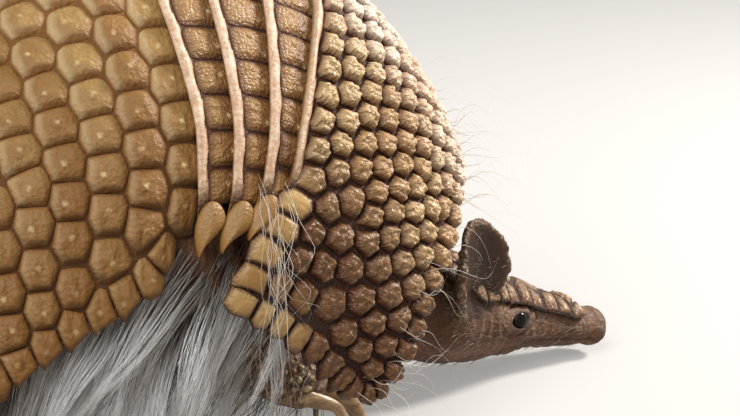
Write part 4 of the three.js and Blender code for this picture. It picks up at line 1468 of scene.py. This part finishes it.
def coat(
    name, roots, ways, lengths, widths, material, droop, curl, seed,
    lowest=0.8, kept=under_shell, locks_of=0, pull=0.8, strand=PLAIN,
):
    """Hairs as one closed mesh. Each is a small patch of the map, at its root's place round the body. droop and
    curl bend them, kept moves their points clear of the shell, and pull draws each lot of locks_of hairs together."""
    draw = np.random.default_rng(seed)
    count = len(roots)
    shape, joined = strand
    s, ring = shape[:, 2], shape[:, :2]
    ways = unit(ways)
    down = np.array([0, 0, -1.0])
    side = unit(np.cross(ways, down + draw.normal(0, 0.2, (count, 3))))
    over = np.cross(side, ways)
    bend = (draw.normal(0, 1, count) * curl)[:, None, None]
    swirl = (draw.uniform(0, 2 * math.pi, count))[:, None, None]
    turns = (draw.uniform(0.6, 1.5, count) * 2 * math.pi)[:, None, None]
    s3 = s[None, :, None]
    curled = side[:, None] * np.sin(swirl + turns * s3) + over[:, None] * np.cos(swirl + turns * s3)
    spine = ways[:, None] * s3 + droop * down * s3**2 + bend * s3**1.5 * curled
    spine = roots[:, None] + lengths[:, None, None] * spine
    tone = draw.uniform(0, 1, count)
    if locks_of:
        leaders = draw.choice(count, count // locks_of, replace=False)
        nearest = leaders[np.linalg.norm(roots[:, None] - roots[None, leaders], axis=-1).argmin(1)]
        spine += pull * s3**1.3 * (spine[nearest] + draw.normal(0, 0.25, (count, 1, 3)) - spine)
        # each hair takes most of its lock's tone, so that whole locks take the painted shade between locks
        tone = 0.75 * tone[nearest] + 0.25 * tone
    if kept:
        spine = kept(spine, s)
    spine[..., 1] = np.clip(spine[..., 1], -WIDEST_HAIR, WIDEST_HAIR)
    thick = (widths[:, None] * (0.4 + 0.6 * smooth(s, 0, 0.2)) * (1 - 0.72 * s[None, :] ** 1.6))[..., None]
    points = spine + thick * (0.5 * side[:, None] * ring[None, :, :1] + 1.15 * over[:, None] * ring[None, :, 1:])
    points[..., 2] = lowest + np.logaddexp(0, (points[..., 2] - lowest) * 1.4) / 1.4

    mesh = bpy.data.meshes.new(name)
    faces = (joined[None] + (np.arange(count) * len(s))[:, None, None]).reshape(-1, 3)
    mesh.vertices.add(count * len(s))
    mesh.loops.add(faces.size)
    mesh.loops.foreach_set("vertex_index", faces.ravel().astype(np.int32))
    mesh.polygons.add(len(faces))
    mesh.polygons.foreach_set("loop_start", np.arange(0, faces.size, 3, dtype=np.int32))
    mesh.update(calc_edges=True)
    write(mesh, points.reshape(-1, 3), {"tip": np.tile(s, count), "tone": np.repeat(tone, len(s))})
    angle = np.arctan2(roots[:, 1], roots[:, 2] - BODY_MIDDLE) / (2 * math.pi)
    place_u = 0.03 + 0.94 * (angle + 0.5)
    place_v = 0.03 + 0.94 * np.clip((roots[:, 0] - BODY_ROUND[0]) / (BODY_ROUND[1] - BODY_ROUND[0]), 0, 1)
    patch = np.stack([place_u[:, None] + 0.0015 * ring[None, :, 0], place_v[:, None] + 0.003 * s[None]], -1)
    layer = mesh.uv_layers.new(name="OFBake")
    layer.data.foreach_set("uv", patch.reshape(-1, 2)[faces.ravel()].astype(np.float32).ravel())
    dressed(placed(name, mesh), material)


def hair_finish(name, root, tip, lustre=0.5, wet=0.0):
    """Hair that goes from root to tip colour along it, with faint streaks, and whole locks darkened as painted shade
    between the locks.
    """
    f = Finish(name)
    along, tone = f.value("tip"), f.value("tone")
    streak = f.noise(0.35, 3.0)
    colour = f.layered(
        f.mix(f.ramp(along, 0.16, 0.52), root, tip),
        # whole locks darkened: painted shade in the gaps between locks
        (f.ramp(tone, 0.56, 0.78) * 0.7, scaled(root, 1.0, 0.95, 0.85)),
        (f.ramp(streak, 0.35, 0.7) * 0.12, scaled(tip, 0.8, 0.72, 0.6)),
    )
    shine = {"Specular_IOR_Level": lustre, "Coat_Weight": wet, "Coat_Roughness": 0.3}
    shine |= {"Sheen_Weight": 0.6, "Sheen_Roughness": 0.4}
    return f.done(Base_Color=colour, Roughness=(0.22 + 0.2 * tone).clipped(), Normal=f.bump(streak, 0.05, 0.4), **shine)


# the pale hair's dark root colour is painted shade under the shell's edge; its white tips are its own colour
pale_hair = hair_finish("pale_hair", shade(0.32, 0.27, 0.17), (1.0, 1.0, 0.99), 1.0, 0.8)
# the belly's under hair is coloured dark: painted shade in the gaps between the pale locks
under_hair = hair_finish("under_hair", shade(0.17, 0.13, 0.09), shade(0.46, 0.4, 0.31))
white_hair = hair_finish("white_hair", shade(0.85, 0.8, 0.72), shade(0.97, 0.96, 0.93))
leg_hair = hair_finish("leg_hair", shade(0.35, 0.26, 0.19), shade(0.74, 0.66, 0.55))

draw = np.random.default_rng(77)
skin_points, skin_ways = read(skin_mesh.vertices, "co", 3) / MM, read(skin_mesh.vertices, "normal", 3)
face_area = read(skin_mesh.polygons, "area")
face_corners = read(skin_mesh.polygons, "loop_total", kind=np.int32)
area = np.zeros(len(skin_points))
corner_vertex = read(skin_mesh.loops, "vertex_index", kind=np.int32)
np.add.at(area, corner_vertex, np.repeat(face_area / face_corners, face_corners))


def scattered(count, weight):
    """Roots over the skin, as many where weight says, and the way the skin faces there."""
    chance = weight * area
    chosen = draw.choice(len(area), count, p=chance / chance.sum())
    return skin_points[chosen] + draw.normal(0, 0.25, (count, 3)) * (1 - np.abs(skin_ways[chosen])), skin_ways[chosen]


def locks(roots, ways, size, pull, seed):
    """Hairs near each other lean together, as wet or greasy hair does."""
    lean = np.stack([cloud(roots, size, seed + k) for k in range(3)], -1)
    return ways + pull * lean


def fur(name, count, weight, out, combed, stray, lean, lengths, widths, material, *bends, full=lambda z: 1.0, **more):
    """A coat grown from the skin: out is how much its hairs stand off it, combed where they all point, stray how
    much they differ, lean the size, strength and seed of their locks, and full how long they are by height."""
    roots, facing = scattered(count, weight.astype(float))
    ways = facing * out + np.array(combed) + draw.normal(0, stray, facing.shape)
    if lean:
        ways = locks(roots, ways, *lean)
    lengths = draw.uniform(*lengths, count) * full(roots[:, 2])
    coat(name, roots, ways, lengths, draw.uniform(*widths, count), material, *bends, **more)


X, Y, Z = skin_points[:, 0] - SHIFT, skin_points[:, 1], skin_points[:, 2]
trunk_side = (np.abs(Y) > 24) & (X > -80) & (X < 46)
for name, side in SIDES.items():
    fringe = trunk_side * (Y * side > 0) * smooth(Z, 17, 26) * smooth(Z, 56, 44) * (np.abs(skin_ways[:, 2]) < 0.85)
    fur(
        f"flank_coat_{name}", 3400, fringe, 0.12, (-0.8, 0.14 * side, -0.78), 0.06, (6.0, 0.5, 50),
        (19, 33), (0.08, 0.18), pale_hair, 0.38, 0.05, 60 + side,
        full=lambda z: 0.82 + 0.18 * smooth(z, 20, 40), locks_of=40, pull=1.0,
    )
belly = smooth(-skin_ways[:, 2], 0.1, 0.7) * (Z > 9) * (Z < 46) * (X > -80) * (X < 62)
fur(
    "belly_coat", 3300, belly, 0.3, (-0.5, 0, -0.8), 0.12, (6, 0.4, 55), (10, 20), (0.11, 0.2),
    under_hair, 0.1, 0.05, 62, lowest=1.4, locks_of=16, pull=0.85,
)
on_legs = (Z > 3) & (Z < 40) & (X < 62) & (X > -100) & (np.abs(Y) > 10)
fur(
    "leg_coat", 2600, on_legs, 0.7, (-0.2, 0, -0.8), 0.16, (5, 0.3, 57), (5, 11), (0.07, 0.13),
    leg_hair, 0.2, 0.08, 64, full=lambda z: smooth(z, 0, 14),
)

# wiry hairs round the front opening, over the front shield's rear corner and about the ears
count = 110
u, v = draw.uniform(0.8, 1.0, count), draw.uniform(-1, 1, count)
rib, around = scapular.spot(u, v)
start = dome(rib, around, 0.4 * np.ones(count))
way = unit(start - np.array([FAN_X - 20, 0, 30])) + np.array([0.55, 0, -0.15]) + draw.normal(0, 0.4, (count, 3))
length, width = draw.uniform(8, 20, count), draw.uniform(0.07, 0.1, count)
coat("front_hairs", start, way, length, width, white_hair, 0.25, 0.42, 65, kept=None, strand=FINE)
for name, side in SIDES.items():
    count = 22
    rib, around = draw.uniform(7, 14, count), side * draw.uniform(58, 67, count)
    start, on = dome(rib, around, 0.3 * np.ones(count)), dome(rib, around + 2 * side, 0.9 * np.ones(count))
    way = unit(on - start) + draw.normal(0, 0.12, start.shape) + np.array([0.12, 0, 0])
    length, width = draw.uniform(14, 38, count), draw.uniform(0.08, 0.13, count)
    looks = {"kept": over_shell, "locks_of": 6, "pull": 0.35, "strand": FINE}
    coat(f"corner_hairs_{name}", start, way, length, width, white_hair, 0.12, 0.24, 66, **looks)
off_eyes = 1 - near(qx, 28, 4.5) * (np.abs(qy) > 5)
face = ((qx > 4) & (qx < 52) & (np.hypot(qy, qz) < HEAD_ROOM)) * off_eyes
backwards = HEAD_TURN @ np.array([-1.0, 0, 0])
fur("face_hairs", 1300, face, 0.5, backwards, 0.15, None, (1.5, 3.4), (0.05, 0.08), leg_hair, 0.05, 0.05, 67, kept=None)


# ---- floor and light ----
WORLD_LIGHT = 0.2


def area_light(name, place, aim, size, power, colour=(1, 1, 1)):
    lamp = bpy.data.lights.new(name, "AREA")
    lamp.shape, lamp.size, lamp.energy, lamp.color = "DISK", size, power, colour
    held = placed(name, lamp)
    held.location = place
    held.rotation_euler = (Vector(aim) - Vector(place)).to_track_quat("-Z", "Y").to_euler()


area_light("back_right", (0.66, 0.02, 0.5), (0.03, 0.0, 0.06), 0.2, 9.5, (1.0, 0.97, 0.95))
area_light("soft_left", (-0.54, -0.7, 0.82), (0.0, 0.0, 0.05), 0.9, 14.0)

world = bpy.data.worlds.new("studio")
bpy.context.scene.world = world
world.use_nodes = True
tree = world.node_tree
lit = tree.nodes["Background"]
lit.inputs["Color"].default_value, lit.inputs["Strength"].default_value = (1, 1, 1, 1), WORLD_LIGHT
seen = tree.nodes.new("ShaderNodeBackground")
seen.inputs["Color"].default_value, seen.inputs["Strength"].default_value = (0.93, 0.92, 0.9, 1), 1.0
path = tree.nodes.new("ShaderNodeLightPath")
either = path.outputs["Is Camera Ray"]
for ray in ("Is Glossy Ray", "Is Transmission Ray"):
    most = tree.nodes.new("ShaderNodeMath")
    most.operation = "MAXIMUM"
    tree.links.new(either, most.inputs[0])
    tree.links.new(path.outputs[ray], most.inputs[1])
    either = most.outputs[0]
choice = tree.nodes.new("ShaderNodeMixShader")
for i, source in enumerate((either, lit.outputs[0], seen.outputs[0])):
    tree.links.new(source, choice.inputs[i])
tree.links.new(choice.outputs[0], tree.nodes["World Output"].inputs[0])

bm = bmesh.new()
bmesh.ops.create_grid(bm, x_segments=2, y_segments=2, size=4.0)
floor_mesh = bpy.data.meshes.new("floor")
bm.to_mesh(floor_mesh)
bm.free()
floor = placed("floor", floor_mesh)
pale = Finish("pale_floor")
lit_floor = pale.node("ShaderNodeBsdfDiffuse", None, {"Color": (0.62, 0.6, 0.57, 1)})
glow = pale.node("ShaderNodeEmission", None, {"Color": (0.8, 0.78, 0.75, 1), "Strength": 1.0})
shown = pale.node("ShaderNodeMixShader", None, {0: 0.38, 1: lit_floor, 2: glow})
bounced = pale.node("ShaderNodeBsdfDiffuse", None, {"Color": (0.2, 0.17, 0.14, 1)})
path = pale.node("ShaderNodeLightPath")
rays = [Wire(pale, path.socket.node.outputs[key]) for key in ("Is Camera Ray", "Is Glossy Ray")]
both = pale.node("ShaderNodeMixShader", None, {0: rays[0].most(rays[1]), 1: bounced, 2: shown})
pale.node("ShaderNodeOutputMaterial", None, {"Surface": both})
floor_mesh.materials.append(pale.material)

bpy.context.scene.view_settings.view_transform = "Standard"

bpy.context.view_layer.update()
